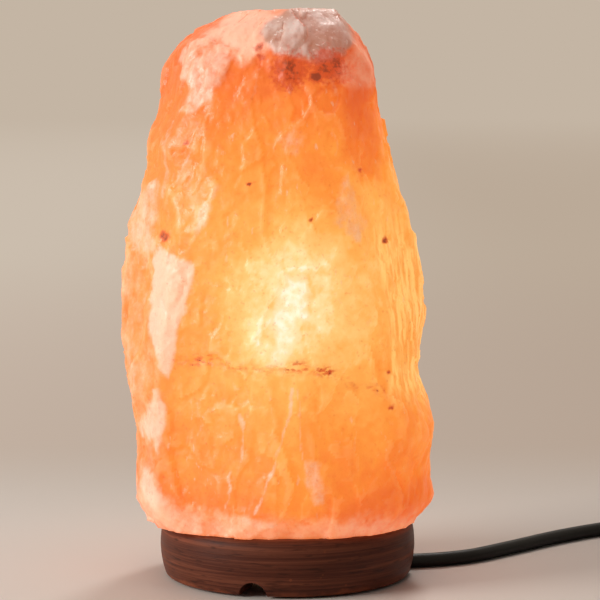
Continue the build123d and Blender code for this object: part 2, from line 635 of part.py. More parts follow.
def screw_shell():
    """Brass shell with ridges that stand for its thread, a flange on the block, and its terminal."""
    clear = FIT_GAP + 0.05
    low, high = THREAD_ROOT_RADIUS + clear, THREAD_CREST_RADIUS + clear
    bottom = BLOCK_TOP_Z + FIT_GAP / 2
    inner = ridges(low, high, THREAD_START_Z, THREAD_PITCH, THREAD_TURNS)
    outer = [(r + CAP_WALL, z) for r, z in inner]
    top_z = RIM_Z - RIM_THICKNESS - FIT_GAP
    mouth = BULB_SKIRT_RADIUS + clear
    outline = [(4.4, bottom), (9.0, bottom), (9.0, bottom + CAP_WALL), (low + CAP_WALL, bottom + CAP_WALL)]
    outline += outer
    outline += [(mouth + CAP_WALL, THREAD_END_Z + 1.5), (mouth + CAP_WALL, top_z), (mouth, top_z)]
    outline += [(mouth, THREAD_END_Z + 1.7)]
    outline += inner[::-1]
    outline += [(low, bottom + CAP_WALL), (4.4, bottom + CAP_WALL)]
    lug = Pos(-TERMINAL_OFFSET, 0, 0) * rod(STEM_SIZE, TERMINAL_TOP_Z - 1, bottom + CAP_WALL)
    return turned(outline) + lug + terminal(-TERMINAL_OFFSET)


def terminal_screws():
    head = TERMINAL_SIZE / 2 + TERMINAL_SCREW_PROUD
    screw = rod(TERMINAL_SCREW_RADIUS, CORE_RADIUS + FIT_GAP, head)
    screw -= slot(TERMINAL_SCREW_RADIUS, head)
    turned_screw = Pos(0, 0, TERMINAL_SCREW_Z) * Rot(-90, 0, 0) * screw
    return gathered(Pos(side * TERMINAL_OFFSET, 0, 0) * turned_screw for side in (-1, 1))


def core(side):
    """One insulated core, from the end of the lead's sheath into its terminal."""
    start = CORE_RADIUS + FIT_GAP
    points = [
        (side * start, 0, SHEATH_TOP_Z + FIT_GAP / 4),
        (side * start, 0, SHEATH_TOP_Z + 2.6),
        (side * TERMINAL_OFFSET, 0, TERMINAL_BOTTOM_Z - 2.6),
        (side * TERMINAL_OFFSET, 0, TERMINAL_BOTTOM_Z + 3),
    ]
    return tube(points, CORE_RADIUS)


def inner_lead():
    """The lead's sheath from inside the holder, down, and out along the notch."""
    drop = GRIP_BOTTOM_Z - CORD_Z
    points = [
        (0, 0, SHEATH_TOP_Z),
        (0, 0, CORD_Z + drop * KNEE_SHARE),
        (*polar(drop * (1 - KNEE_SHARE), CORD_AZIMUTH), CORD_Z),
        (*polar(BASE_RADIUS, CORD_AZIMUTH), CORD_Z),
    ]
    radii = bend_radii(points)
    print("inner lead radii", [round(r, 1) for r in radii])
    return tube(points, CORD_RADIUS, radii)


# ---------------------------------------------------------------- bulb
def bulb_body(inset):
    """The bulb's outline turned solid, its skin set in by an inset."""
    neck_z = BULB_CAP_TOP_Z - BULB_SKIRT_HEIGHT + inset
    neck = BULB_NECK_RADIUS - inset
    radius = BULB_RADIUS - inset
    dome_z = BULB_TOP_Z - BULB_RADIUS
    shoulder_z = BULB_CAP_TOP_Z + BULB_SHOULDER
    sides = Polyline((0, 0, neck_z), (neck, 0, neck_z), (neck, 0, BULB_CAP_TOP_Z + 1))
    shoulder = Spline(
        (neck, 0, BULB_CAP_TOP_Z + 1), (radius, 0, shoulder_z), tangents=((0, 0, 1), (0, 0, 1))
    )
    wall = Line((radius, 0, shoulder_z), (radius, 0, dome_z))
    middle = radius * cos(radians(45))
    dome = ThreePointArc((radius, 0, dome_z), (middle, 0, dome_z + middle), (0, 0, dome_z + radius))
    closing = Line((0, 0, dome_z + radius), (0, 0, neck_z))
    return revolve(make_face(sides + shoulder + wall + dome + closing), Axis.Z, 360)


def bulb_glass():
    glass = bulb_body(0) - bulb_body(BULB_WALL)
    neck_z = BULB_CAP_TOP_Z - BULB_SKIRT_HEIGHT
    return glass - rod(BULB_NECK_RADIUS - BULB_WALL, neck_z - 1, neck_z + 2 * BULB_WALL)


def bulb_cap():
    """Metal screw cap: ridges that stand for its thread, then the wide skirt round the neck."""
    outer = ridges(THREAD_ROOT_RADIUS, THREAD_CREST_RADIUS, THREAD_START_Z, THREAD_PITCH, THREAD_TURNS)
    inner = [(r - CAP_WALL, z) for r, z in outer]
    skirt_z = BULB_CAP_TOP_Z - BULB_SKIRT_HEIGHT
    skirt = BULB_SKIRT_RADIUS
    outline = outer + [(THREAD_ROOT_RADIUS, skirt_z - 2.4), (skirt, skirt_z), (skirt, BULB_CAP_TOP_Z)]
    outline += [(skirt - CAP_WALL, BULB_CAP_TOP_Z), (skirt - CAP_WALL, skirt_z - FIT_GAP)]
    outline += [(THREAD_ROOT_RADIUS - CAP_WALL, skirt_z - 2.4 - FIT_GAP)]
    return turned(outline + inner[::-1])


def cap_insulator():
    """Glass cone between the screw cap and the tip contact."""
    bore = TIP_RADIUS - 0.6
    low = TIP_Z + TIP_HEIGHT
    return turned([
        (bore, low), (TIP_RADIUS + 0.8, low), (THREAD_ROOT_RADIUS - CAP_WALL, THREAD_START_Z - FIT_GAP / 2),
        (THREAD_ROOT_RADIUS - CAP_WALL - FIT_GAP, THREAD_START_Z + 1), (bore, THREAD_START_Z + 1),
    ])


def tip_contact():
    stem = TIP_RADIUS - 0.8
    rim_z = TIP_Z + TIP_HEIGHT - FIT_GAP / 4
    return turned([
        (0, TIP_Z), (stem, TIP_Z), (TIP_RADIUS, TIP_Z + 0.5), (TIP_RADIUS, rim_z),
        (stem, rim_z), (stem, THREAD_START_Z), (0, THREAD_START_Z),
    ])


def bulb_stem():
    """Glass mount sealed into the neck: a flare, then the pinch that holds the wires."""
    flare_z = BULB_CAP_TOP_Z - BULB_SKIRT_HEIGHT + 2 * BULB_WALL
    flare = BULB_NECK_RADIUS - BULB_WALL - 0.05
    return turned([
        (0, flare_z), (flare, flare_z), (flare, flare_z + 0.8), (STEM_RADIUS, flare_z + 6),
        (STEM_RADIUS, STEM_TOP_Z - 0.6), (STEM_RADIUS - 0.6, STEM_TOP_Z), (0, STEM_TOP_Z),
    ])


def lead_wires():
    """Two stiff wires from the stem out to the ends of the filament."""
    wires = []
    for side in (-1, 1):
        points = [
            (side * 1.2, 0, STEM_TOP_Z),
            (side * 1.2, 0, STEM_TOP_Z + 3),
            (side * FILAMENT_SPAN, 0, STEM_TOP_Z + LEAD_RISE - 3),
            (side * FILAMENT_SPAN, 0, STEM_TOP_Z + LEAD_RISE),
        ]
        wires.append(tube(points, WIRE_RADIUS))
    return gathered(wires)


def support_wires():
    """Two thin wires that hook the filament's upper corners."""
    wires = []
    for side in (-1, 1):
        points = [
            (0, side * 1.1, STEM_TOP_Z),
            (0, side * 1.1, STEM_TOP_Z + 4),
            (side * FILAMENT_SPAN / 2, side * 1.1, STEM_TOP_Z + LEAD_RISE),
            (side * FILAMENT_SPAN / 2, side * (WIRE_RADIUS + FILAMENT_RADIUS), FILAMENT_TOP_Z),
        ]
        wires.append(tube(points, WIRE_RADIUS * 0.8))
    return gathered(wires)


def filament():
    """Coiled wire, as a plain round bar, that rises and falls twice between the lead wires."""
    bottom = STEM_TOP_Z + LEAD_RISE + FILAMENT_RADIUS
    points = [
        (-FILAMENT_SPAN, 0, bottom),
        (-FILAMENT_SPAN / 2, 0, FILAMENT_TOP_Z),
        (0, 0, bottom + 2),
        (FILAMENT_SPAN / 2, 0, FILAMENT_TOP_Z),
        (FILAMENT_SPAN, 0, bottom),
    ]
    return tube(points, FILAMENT_RADIUS, [0.8, 0.8, 0.8])


# ---------------------------------------------------------------- mains lead
def route_to_switch():
    """The lead from the notch to the switch: straight out, then in loose curves on the table."""
    start = polar(BASE_RADIUS, CORD_AZIMUTH)
    first = polar(BASE_RADIUS + CORD_START_RUN, CORD_AZIMUTH)
    points = [(*start, CORD_Z), (*first, CORD_Z)]
    points += [(x, y, CORD_Z + lift) for x, y, lift in CORD_TO_SWITCH]
    points.append((SWITCH_X, SWITCH_END_Y + SWITCH_RUN_IN, SWITCH_CORD_Z))
    points.append((SWITCH_X, SWITCH_END_Y - SWITCH_ENTRY, SWITCH_CORD_Z))
    return points


def route_to_coil():
    """The lead from the switch down to the table and onto the coil's outer turn."""
    coil_z = COIL_BOTTOM_Z + CORD_RADIUS
    straight_y = SWITCH_START_Y - SWITCH_RUN_OUT
    return [
        (SWITCH_X, SWITCH_START_Y + SWITCH_ENTRY, SWITCH_CORD_Z),
        (SWITCH_X, straight_y, SWITCH_CORD_Z),
        (SWITCH_X, straight_y - COIL_RUN_DOWN, coil_z),
        (SWITCH_X, COIL_CENTRE[1], coil_z),
    ]


def route_to_plug():
    """The lead from the coil's upper turn, out and back, to the plug's boot."""
    upper_z = COIL_BOTTOM_Z + 3 * CORD_RADIUS
    across = (COIL_END_X, (COIL_END_X + PLUG_X) / 2, PLUG_X)
    points = [(COIL_END_X, COIL_CENTRE[1], upper_z), (COIL_END_X, COIL_CENTRE[1] + COIL_RUN_OUT, upper_z)]
    for x, (out, share) in zip(across, LOOP_SHAPE):
        points.append((x, COIL_CENTRE[1] + out, upper_z + share * (PLUG_Z - upper_z)))
    points.append((PLUG_X, BOOT_START_Y, PLUG_Z))
    return points


def cord_coil():
    """The outer shape of the coil: a ring with rounded edges."""
    inner = COIL_INNER_RADIUS - CORD_RADIUS
    outer = COIL_OUTER_RADIUS + CORD_RADIUS
    coil = ring(inner, outer, COIL_BOTTOM_Z, COIL_BOTTOM_Z + COIL_HEIGHT)
    coil = fillet(coil.edges().filter_by(GeomType.CIRCLE), COIL_ROUND)
    return Pos(*COIL_CENTRE, 0) * coil


def tie_section(inset):
    """Face across the strap, set in or out from the coil's section, at the coil's middle radius."""
    width = COIL_OUTER_RADIUS - COIL_INNER_RADIUS + 2 * CORD_RADIUS + 2 * inset
    height = COIL_HEIGHT + 2 * inset
    middle = (COIL_OUTER_RADIUS + COIL_INNER_RADIUS) / 2
    return Plane.XZ * Pos(middle, 0) * RectangleRounded(width, height, COIL_ROUND + inset)


def cord_tie():
    """Flat strap once round the turns of the coil."""
    gap = FIT_GAP / 4
    section = tie_section(gap + TIE_THICKNESS) - tie_section(gap)
    turn = degrees(TIE_WIDTH / COIL_INNER_RADIUS)
    strap = revolve(section, Axis.Z, turn)
    return Pos(*COIL_CENTRE, COIL_BOTTOM_Z + COIL_HEIGHT / 2) * Rot(0, 0, TIE_AZIMUTH) * strap


# ---------------------------------------------------------------- in-line switch
# The switch is made along X, middle at the origin, on the table, then turned to lie along the lead.
def switch_place(piece):
    return Pos(SWITCH_X, SWITCH_MIDDLE_Y, SWITCH_Z) * Rot(0, 0, -90) * piece


def switch_outline(inset):
    """Plan of the shells: a rounded rectangle with a narrower nose at each end."""
    length = SWITCH_LENGTH - 2 * inset
    width = SWITCH_WIDTH - 2 * inset
    body = RectangleRounded(length - 2 * SWITCH_NOSE_LENGTH, width, SWITCH_CORNER - inset)
    nose_width = SWITCH_NOSE - 2 * inset
    return body + RectangleRounded(length, nose_width, nose_width / 2 - 0.5)


def switch_entries():
    """The holes where the lead enters, as one bar along the switch."""
    return Pos(0, 0, SWITCH_SPLIT) * Rot(0, 90, 0) * Cylinder(CORD_RADIUS + FIT_GAP, SWITCH_LENGTH + 2)


def switch_bosses(bottom, top, radius):
    """Bars on the axes of the two closing screws, along one side of the switch."""
    return [Pos(side * SHELL_SCREW_OFFSET, BOSS_Y, 0) * rod(radius, bottom, top) for side in (-1, 1)]


def switch_base():
    shell = extrude(switch_outline(0), SWITCH_SPLIT)
    shell = fillet(shell.faces().sort_by(Axis.Z)[0].edges(), SWITCH_EDGE_ROUND)
    shell -= Pos(0, 0, SWITCH_WALL) * extrude(switch_outline(SWITCH_WALL), SWITCH_SPLIT)
    for post in switch_bosses(SWITCH_WALL / 2, SWITCH_SPLIT, BOSS_RADIUS):
        shell += post
    for hole in switch_bosses(-1, SWITCH_SPLIT + 1, SHELL_SCREW_RADIUS + FIT_GAP / 2):
        shell -= hole
    for seat in switch_bosses(-1, SHELL_SCREW_HEAD, SHELL_SCREW_RADIUS * 1.6 + FIT_GAP):
        shell -= seat
    return shell - switch_entries()


def switch_cover():
    height = SWITCH_HEIGHT - SWITCH_SPLIT
    shell = extrude(switch_outline(0), height)
    shell = fillet(shell.faces().sort_by(Axis.Z)[-1].edges(), SWITCH_EDGE_ROUND)
    shell -= Pos(0, 0, -1) * extrude(switch_outline(SWITCH_WALL), height - SWITCH_WALL + 1)
    shell = Pos(0, 0, SWITCH_SPLIT) * shell
    for post in switch_bosses(SWITCH_SPLIT, SWITCH_HEIGHT - SWITCH_WALL / 2, BOSS_RADIUS):
        shell += post
    bore = SHELL_SCREW_RADIUS + FIT_GAP / 2
    for hole in switch_bosses(SWITCH_SPLIT - 1, SHELL_SCREW_TOP + FIT_GAP, bore):
        shell -= hole
    window = Box(window_length(), ROCKER_WIDTH + 2 * RUN_GAP, 4 * SWITCH_WALL)
    shell -= Pos(0, 0, SWITCH_HEIGHT) * window
    cheek_y = ROCKER_WIDTH / 2 + RUN_GAP + CHEEK_THICKNESS / 2
    cheek_height = SWITCH_HEIGHT - SWITCH_WALL / 2 - SWITCH_SPLIT - 1
    for side in (-1, 1):
        cheek = Box(CHEEK_LENGTH, CHEEK_THICKNESS, cheek_height, align=UPRIGHT)
        shell += Pos(0, side * cheek_y, SWITCH_SPLIT + 1) * cheek
    shell -= pivot_bar(PIVOT_RADIUS + FIT_GAP / 4, ROCKER_WIDTH + 2 * RUN_GAP + 2 * CHEEK_THICKNESS + 1)
    return shell - switch_entries()


def window_length():
    """Room for the rocker's upper corners at either end of its travel."""
    tilt = radians(ROCKER_TILT)
    return 2 * (ROCKER_LENGTH / 2 * cos(tilt) + ROCKER_HEIGHT * sin(tilt) + RUN_GAP)


def pivot_bar(radius, length):
    return Pos(0, 0, PIVOT_HEIGHT) * Rot(90, 0, 0) * Cylinder(radius, length)


def rocker_pivot():
    return pivot_bar(PIVOT_RADIUS, ROCKER_WIDTH + 2 * RUN_GAP + 2 * CHEEK_THICKNESS)


def shell_screws():
    head = SHELL_SCREW_RADIUS * 1.6
    neck_z = SHELL_SCREW_HEAD - FIT_GAP
    screw = turned([
        (0, SHELL_SCREW_SINK), (head, SHELL_SCREW_SINK), (head, neck_z),
        (SHELL_SCREW_RADIUS, neck_z), (SHELL_SCREW_RADIUS, SHELL_SCREW_TOP), (0, SHELL_SCREW_TOP),
    ])
    screw -= slot(head, SHELL_SCREW_SINK)
    return gathered(Pos(side * SHELL_SCREW_OFFSET, BOSS_Y, 0) * screw for side in (-1, 1))


def rocker():
    """Rocker with a dished top, tipped to its rest position about the pivot."""
    top = PIVOT_HEIGHT + ROCKER_HEIGHT
    low = PIVOT_HEIGHT - STRIP_DROP
    half = ROCKER_LENGTH / 2
    rise = ROCKER_LENGTH / 2 * tan(radians(ROCKER_TILT))
    waist = half - ROCKER_TAPER
    waist_z = SWITCH_HEIGHT - ROCKER_SHOULDER
    outline = Polyline(
        (-half, 0, top - rise), (-waist, 0, waist_z), (-ROCKER_KEEL, 0, low), (ROCKER_KEEL, 0, low),
        (waist, 0, waist_z), (half, 0, top - rise),
    )
    dish = ThreePointArc((half, 0, top - rise), (0, 0, top - rise - ROCKER_DISH), (-half, 0, top - rise))
    side = make_face(outline + dish)
    body = Pos(0, ROCKER_WIDTH / 2, 0) * extrude(side, ROCKER_WIDTH, dir=(0, -1, 0))
    body -= pivot_bar(PIVOT_RADIUS + RUN_GAP / 3, ROCKER_WIDTH + 2)
    return tipped(body)


def tipped(piece):
    """A piece turned about the pivot by half of the rocker's travel."""
    return Pos(0, 0, PIVOT_HEIGHT) * Rot(0, -ROCKER_TILT, 0) * Pos(0, 0, -PIVOT_HEIGHT) * piece


def moving_contact():
    """Brass strip under the rocker, with a leg down at each end."""
    top = PIVOT_HEIGHT - STRIP_DROP
    strip = Box(2 * CONTACT_OFFSET, CONTACT_WIDTH, CONTACT_THICKNESS, align=HANGING)
    strip = Pos(0, 0, top) * strip
    leg = Cylinder(CONTACT_LEG_RADIUS, CONTACT_LEG, align=HANGING)
    for side in (-1, 1):
        strip += Pos(side * (CONTACT_OFFSET - CONTACT_LEG_RADIUS), 0, top - CONTACT_THICKNESS) * leg
    return tipped(strip)


def contact_leg_low():
    """Lowest point of the moving contact's leg on the tipped-down side, at rest."""
    leg_z = PIVOT_HEIGHT - STRIP_DROP - CONTACT_THICKNESS - CONTACT_LEG
    tilt = radians(ROCKER_TILT)
    return PIVOT_HEIGHT + (leg_z - PIVOT_HEIGHT) * cos(tilt) - CONTACT_OFFSET * sin(tilt)


def fixed_contacts():
    """Two brass blades on the shell's floor, each with a post and a terminal for a core."""
    middle_top = PIVOT_HEIGHT - STRIP_DROP - CONTACT_THICKNESS - RUN_GAP - FIT_GAP
    end_post = (-1, CONTACT_LEG_RADIUS - CONTACT_OFFSET, contact_leg_low() - RUN_GAP)
    middle_post = (1, 0, middle_top)
    blades = []
    for side, post_x, post_top in (end_post, middle_post):
        length = SWITCH_TERMINAL_X - abs(post_x)
        middle_x = side * (SWITCH_TERMINAL_X + abs(post_x)) / 2
        blade = Pos(middle_x, 0, FLOOR_Z) * Box(length, CONTACT_WIDTH, BLADE_THICKNESS, align=UPRIGHT)
        post = Box(POST_LENGTH, CONTACT_WIDTH, post_top - FLOOR_Z, align=UPRIGHT)
        blade += Pos(post_x, 0, FLOOR_Z) * post
        blades.append(blade + Pos(side * SWITCH_TERMINAL_X, 0, FLOOR_Z) * switch_terminal())
    return gathered(blades)


def switch_terminal():
    return Box(SWITCH_TERMINAL_SIDE, SWITCH_TERMINAL_SIDE, SWITCH_TERMINAL_RISE, align=UPRIGHT)


def through_bar():
    """Brass bar beside the rocker that joins the second core straight through."""
    bar = Box(2 * SWITCH_TERMINAL_X, THROUGH_WIDTH, THROUGH_THICKNESS, align=UPRIGHT)
    bar = Pos(0, -THROUGH_Y, FLOOR_Z) * bar
    for side in (-1, 1):
        bar += Pos(side * SWITCH_TERMINAL_X, -THROUGH_Y, FLOOR_Z) * switch_terminal()
    return bar


def switch_cores(across):
    """One core's two ends inside the switch: from the lead's sheath to the terminals."""
    start_x = SWITCH_LENGTH / 2 - SWITCH_ENTRY - FIT_GAP / 2
    end_x = SWITCH_TERMINAL_X + SWITCH_TERMINAL_SIDE / 2 + FIT_GAP / 2
    start_y = across / THROUGH_Y * (CORE_RADIUS + FIT_GAP) * 2 + CORE_RADIUS + FIT_GAP
    low_z = FLOOR_Z + SWITCH_TERMINAL_RISE / 2
    cores = []
    for side in (-1, 1):
        points = [
            (side * start_x, start_y, SWITCH_SPLIT),
            (side * (start_x - CORE_RUN_OUT), start_y, SWITCH_SPLIT),
            (side * (end_x + CORE_RUN_IN), across, low_z),
            (side * end_x, across, low_z),
        ]
        cores.append(tube(points, CORE_RADIUS))
    return gathered(cores)


# ---------------------------------------------------------------- plug
# The plug is made along X from the boot's tip to the pins, then turned to lie on the coil.
def plug_place(piece):
    return Pos(PLUG_X, PLUG_START_Y, PLUG_Z) * Rot(0, 0, -90) * piece


def plug_body():
    """Flat moulded body: narrow at the lead, full width at the face."""
    tail, full = PLUG_TAIL_WIDTH / 2, PLUG_BODY_WIDTH / 2
    length = PLUG_BODY_LENGTH
    neck = tail + PLUG_TAIL_FLARE
    plan = Polyline(
        (0, -tail), (PLUG_TAIL_LENGTH, -neck), (PLUG_SHOULDER, -full), (length, -full),
        (length, full), (PLUG_SHOULDER, full), (PLUG_TAIL_LENGTH, neck), (0, tail), close=True,
    )
    turns = make_face(plan).vertices().filter_by(lambda v: 1 < v.X < length - 1)
    face = fillet(turns, PLUG_PLAN_ROUND)
    body = Pos(0, 0, -PLUG_BODY_HEIGHT / 2) * extrude(face, PLUG_BODY_HEIGHT)
    long_edges = body.faces().sort_by(Axis.Z)[0].edges() + body.faces().sort_by(Axis.Z)[-1].edges()
    body = fillet(long_edges, PLUG_BODY_ROUND)
    for side in (-1, 1):
        hole = Rot(0, 90, 0) * Cylinder(PIN_THIN_RADIUS + FIT_GAP / 4, 2 * PIN_ROOT)
        body -= Pos(length, side * PIN_SPACING / 2, 0) * hole
    return body


def plug_pins():
    """Solid brass pins with rounded tips, thinner in the body and where the sleeves sit."""
    root = PLUG_BODY_LENGTH - PIN_ROOT + FIT_GAP
    tip = PLUG_BODY_LENGTH + PIN_LENGTH
    thin = PIN_THIN_RADIUS
    sleeve_end = PLUG_BODY_LENGTH + SLEEVE_LENGTH + FIT_GAP / 4
    pin = turned([
        (0, root), (thin, root), (thin, sleeve_end), (PIN_RADIUS, sleeve_end),
        (PIN_RADIUS, tip - PIN_RADIUS * 0.6), (PIN_RADIUS * 0.7, tip - PIN_RADIUS * 0.15), (0, tip),
    ])
    return gathered(Pos(0, side * PIN_SPACING / 2, 0) * Rot(0, 90, 0) * pin for side in (-1, 1))


def pin_sleeves():
    """Insulation round the inner half of each pin, flush with its bare end."""
    face = PLUG_BODY_LENGTH
    sleeve = ring(PIN_RADIUS - SLEEVE_WALL, PIN_RADIUS, face + FIT_GAP / 4, face + SLEEVE_LENGTH)
    return gathered(Pos(0, side * PIN_SPACING / 2, 0) * Rot(0, 90, 0) * sleeve for side in (-1, 1))


def plug_boot():
    """Tapered strain relief with ribs, between the lead and the plug's body."""
    outline = [(0, -FIT_GAP / 4), (BOOT_RADIUS, -FIT_GAP / 4)]
    step = (BOOT_LENGTH - BOOT_COLLAR - BOOT_END) / BOOT_RIBS
    edge = BOOT_SLOPE / 2
    for rib in range(BOOT_RIBS):
        start_z = -BOOT_COLLAR - rib * step
        end_z = start_z - step + edge
        radius = BOOT_RADIUS + (BOOT_TIP_RADIUS - BOOT_RADIUS) * rib / BOOT_RIBS
        groove = radius - BOOT_GROOVE
        outline += [(radius, start_z), (groove, start_z - BOOT_SLOPE)]
        outline += [(groove, end_z + BOOT_SLOPE), (radius, end_z)]
    outline += [(BOOT_TIP_RADIUS, edge - BOOT_LENGTH), (BOOT_TIP_RADIUS - edge, -BOOT_LENGTH)]
    outline.append((0, -BOOT_LENGTH))
    return Rot(0, 90, 0) * turned(outline)


# ---------------------------------------------------------------- the pieces, one file each
PIECES = {
    "salt_crystal": salt_crystal,
    "wooden_base": wooden_base,
    "felt_pads": lambda: round_the_base(felt_pad(), PAD_CIRCLE, PAD_AZIMUTHS),
    "fixing_screws": lambda: round_the_base(fixing_screw(), SCREW_CIRCLE, SCREW_AZIMUTHS),
    "wall_plugs": lambda: round_the_base(wall_plug(), SCREW_CIRCLE, SCREW_AZIMUTHS),
    "holder_cap": holder_cap,
    "holder_housing": holder_housing,
    "spring_clip": spring_clip,
    "cord_grip": cord_grip,
    "grip_nut": grip_nut,
    "grip_screw": grip_screw,
    "contact_block": contact_block,
    "centre_contact": centre_contact,
    "screw_shell": screw_shell,
    "terminal_screws": terminal_screws,
    "core_brown": lambda: core(1),
    "core_blue": lambda: core(-1),
    "inner_lead": inner_lead,
    "bulb_glass": bulb_glass,
    "bulb_cap": bulb_cap,
    "cap_insulator": cap_insulator,
    "tip_contact": tip_contact,
    "bulb_stem": bulb_stem,
    "lead_wires": lead_wires,
    "support_wires": support_wires,
    "filament": filament,
    "cord_to_switch": lambda: cord_tube("cord_to_switch", route_to_switch()),
    "cord_to_coil": lambda: cord_tube("cord_to_coil", route_to_coil()),
    "cord_coil": cord_coil,
    "cord_to_plug": lambda: cord_tube("cord_to_plug", route_to_plug()),
    "cord_tie": cord_tie,
    "switch_base": lambda: switch_place(switch_base()),
    "switch_cover": lambda: switch_place(switch_cover()),
    "shell_screws": lambda: switch_place(shell_screws()),
    "rocker_pivot": lambda: switch_place(rocker_pivot()),
    "rocker": lambda: switch_place(rocker()),
    "moving_contact": lambda: switch_place(moving_contact()),
    "fixed_contacts": lambda: switch_place(fixed_contacts()),
    "through_bar": lambda: switch_place(through_bar()),
    "switch_cores_brown": lambda: switch_place(switch_cores(0)),
    "switch_cores_blue": lambda: switch_place(switch_cores(-THROUGH_Y)),
    "plug_body": lambda: plug_place(plug_body()),
    "plug_boot": lambda: plug_place(plug_boot()),
    "plug_pins": lambda: plug_place(plug_pins()),
    "pin_sleeves": lambda: plug_place(pin_sleeves()),
}

os.makedirs("parts", exist_ok=True)
for node, make in PIECES.items():
    export_step(make(), f"parts/{node}.step")
    print("wrote", node)
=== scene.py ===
# %% [markdown]
# # A salt crystal lamp
# The lamp is a lump of split rock salt on a turned wooden base. A small bulb inside it makes the
# salt glow from deep orange at the edges to almost white in front of the bulb. The frame that is
# loaded first holds every hard piece at its real size and place, in metres. What is made here is
# what a maker would see and touch: the rough skin of the crystal, its glow, the wood and the lead.

# %% Tools and the frame
import itertools
import math

import bpy
import numpy as np
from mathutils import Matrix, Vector


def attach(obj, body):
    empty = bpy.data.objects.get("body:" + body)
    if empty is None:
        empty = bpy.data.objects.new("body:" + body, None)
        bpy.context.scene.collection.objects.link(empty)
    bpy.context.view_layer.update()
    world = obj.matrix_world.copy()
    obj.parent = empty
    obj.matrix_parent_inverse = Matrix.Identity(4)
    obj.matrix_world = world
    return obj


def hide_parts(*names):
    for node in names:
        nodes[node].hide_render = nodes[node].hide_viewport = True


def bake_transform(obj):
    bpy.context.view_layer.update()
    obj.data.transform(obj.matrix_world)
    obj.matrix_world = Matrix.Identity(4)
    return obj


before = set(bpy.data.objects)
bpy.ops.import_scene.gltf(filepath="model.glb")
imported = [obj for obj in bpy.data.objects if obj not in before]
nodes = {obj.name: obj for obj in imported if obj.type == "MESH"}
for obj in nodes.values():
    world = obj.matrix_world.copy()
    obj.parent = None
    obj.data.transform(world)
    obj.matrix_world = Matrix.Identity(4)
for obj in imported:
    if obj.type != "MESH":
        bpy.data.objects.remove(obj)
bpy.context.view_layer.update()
MM = 0.001

# %% [markdown]
# ## Camera
# The photograph was taken from about a metre away and a little above the top of the base, with a
# long lens. The camera's height and tilt were worked out from how round the base looks at its foot
# and how flat it looks at the top.

# %% Camera
CAMERA_PLACE = (5.3 * MM, -1.0, 0.216)
CAMERA_TILT = 5.66  # degrees below the horizon
CAMERA_LENS = 142.8  # millimetres, on a 36 mm sensor

camera_data = bpy.data.cameras.new("camera")
camera_data.lens = CAMERA_LENS
camera_data.sensor_width = 36.0
camera = bpy.data.objects.new("camera", camera_data)
camera.location = CAMERA_PLACE
camera.rotation_euler = (math.radians(90 - CAMERA_TILT), 0, 0)
bpy.context.scene.collection.objects.link(camera)
bpy.context.scene.camera = camera

# %% [markdown]
# ## Helpers for meshes
# Nearly every piece below is a grid of points, worked out with numpy and joined into quads. A grid
# can close on itself round its rows, and a closed end becomes one pole point.

# %% Mesh helpers


def new_mesh(name, points, faces, smooth=True):
    """A mesh object at the origin from an array of points and one or more arrays of faces."""
    mesh = bpy.data.meshes.new(name)
    blocks = [np.asarray(block) for block in faces if len(block)]
    loops = np.concatenate([block.ravel() for block in blocks])
    sizes = np.concatenate([np.full(len(block), block.shape[1]) for block in blocks])
    starts = np.concatenate([[0], np.cumsum(sizes)[:-1]])
    mesh.vertices.add(len(points))
    mesh.vertices.foreach_set("co", np.asarray(points, dtype=np.float32).ravel())
    mesh.loops.add(len(loops))
    mesh.loops.foreach_set("vertex_index", loops.astype(np.int32))
    mesh.polygons.add(len(sizes))
    mesh.polygons.foreach_set("loop_start", starts.astype(np.int32))
    mesh.polygons.foreach_set("use_smooth", np.full(len(sizes), smooth))
    mesh.update(calc_edges=True)
    mesh.validate()
    piece = bpy.data.objects.new(name, mesh)
    bpy.context.scene.collection.objects.link(piece)
    return piece


def grid_faces(rows, columns, offset=0):
    """Quads between neighbouring rows of points that each run once round and close."""
    row = np.arange(rows - 1)[:, None] * columns + offset
    here = np.arange(columns)[None, :]
    after = (here + 1) % columns
    quads = np.stack([row + here, row + after, row + columns + after, row + columns + here], axis=-1)
    return quads.reshape(-1, 4)


def cap_faces(row_start, columns, pole, upwards):
    """Triangles from one closed row of points to a pole point."""
    here = row_start + np.arange(columns)
    after = row_start + (np.arange(columns) + 1) % columns
    middle = np.full(columns, pole)
    order = [here, after, middle] if upwards else [after, here, middle]
    return np.stack(order, axis=-1)


def give(piece, material):
    """Makes a material the piece's only one."""
    piece.data.materials.clear()
    piece.data.materials.append(material)


# %% [markdown]
# ## Helpers for noise
# Broken salt is uneven at every size. Its lumps come from value noise: random numbers on a cubic
# lattice, blended smoothly in between, and added up in layers that each halve in size and strength.

# %% Noise helpers
NOISE_VALUES = 4096
LATTICE_STEPS = (73856093, 19349663, 83492791)  # large primes that scatter the lattice's cells


def lattice_number(cell):
    """A number from 0 up to NOISE_VALUES that belongs to a lattice cell."""
    x, y, z = np.moveaxis(cell * np.array(LATTICE_STEPS), -1, 0)
    return (x ^ y ^ z) % NOISE_VALUES


def value_noise(points, size, seed):
    """Smooth noise between -1 and 1, with lumps about as wide as size, at an array of points."""
    values = np.random.default_rng(seed).uniform(-1, 1, NOISE_VALUES)
    scaled = points / size
    cell = np.floor(scaled).astype(np.int64)
    part = scaled - cell
    part = part * part * (3 - 2 * part)
    total = np.zeros(points.shape[:-1])
    for corner in itertools.product((0, 1), repeat=3):
        share = np.prod(np.where(np.array(corner) == 1, part, 1 - part), axis=-1)
        total += share * values[lattice_number(cell + np.array(corner))]
    return total


def layered_noise(points, size, seed, layers=4):
    """Value noise in layers, each half as large and half as strong as the one before."""
    total = np.zeros(points.shape[:-1])
    for layer in range(layers):
        total += value_noise(points, size / 2**layer, seed + layer) / 2**layer
    return total


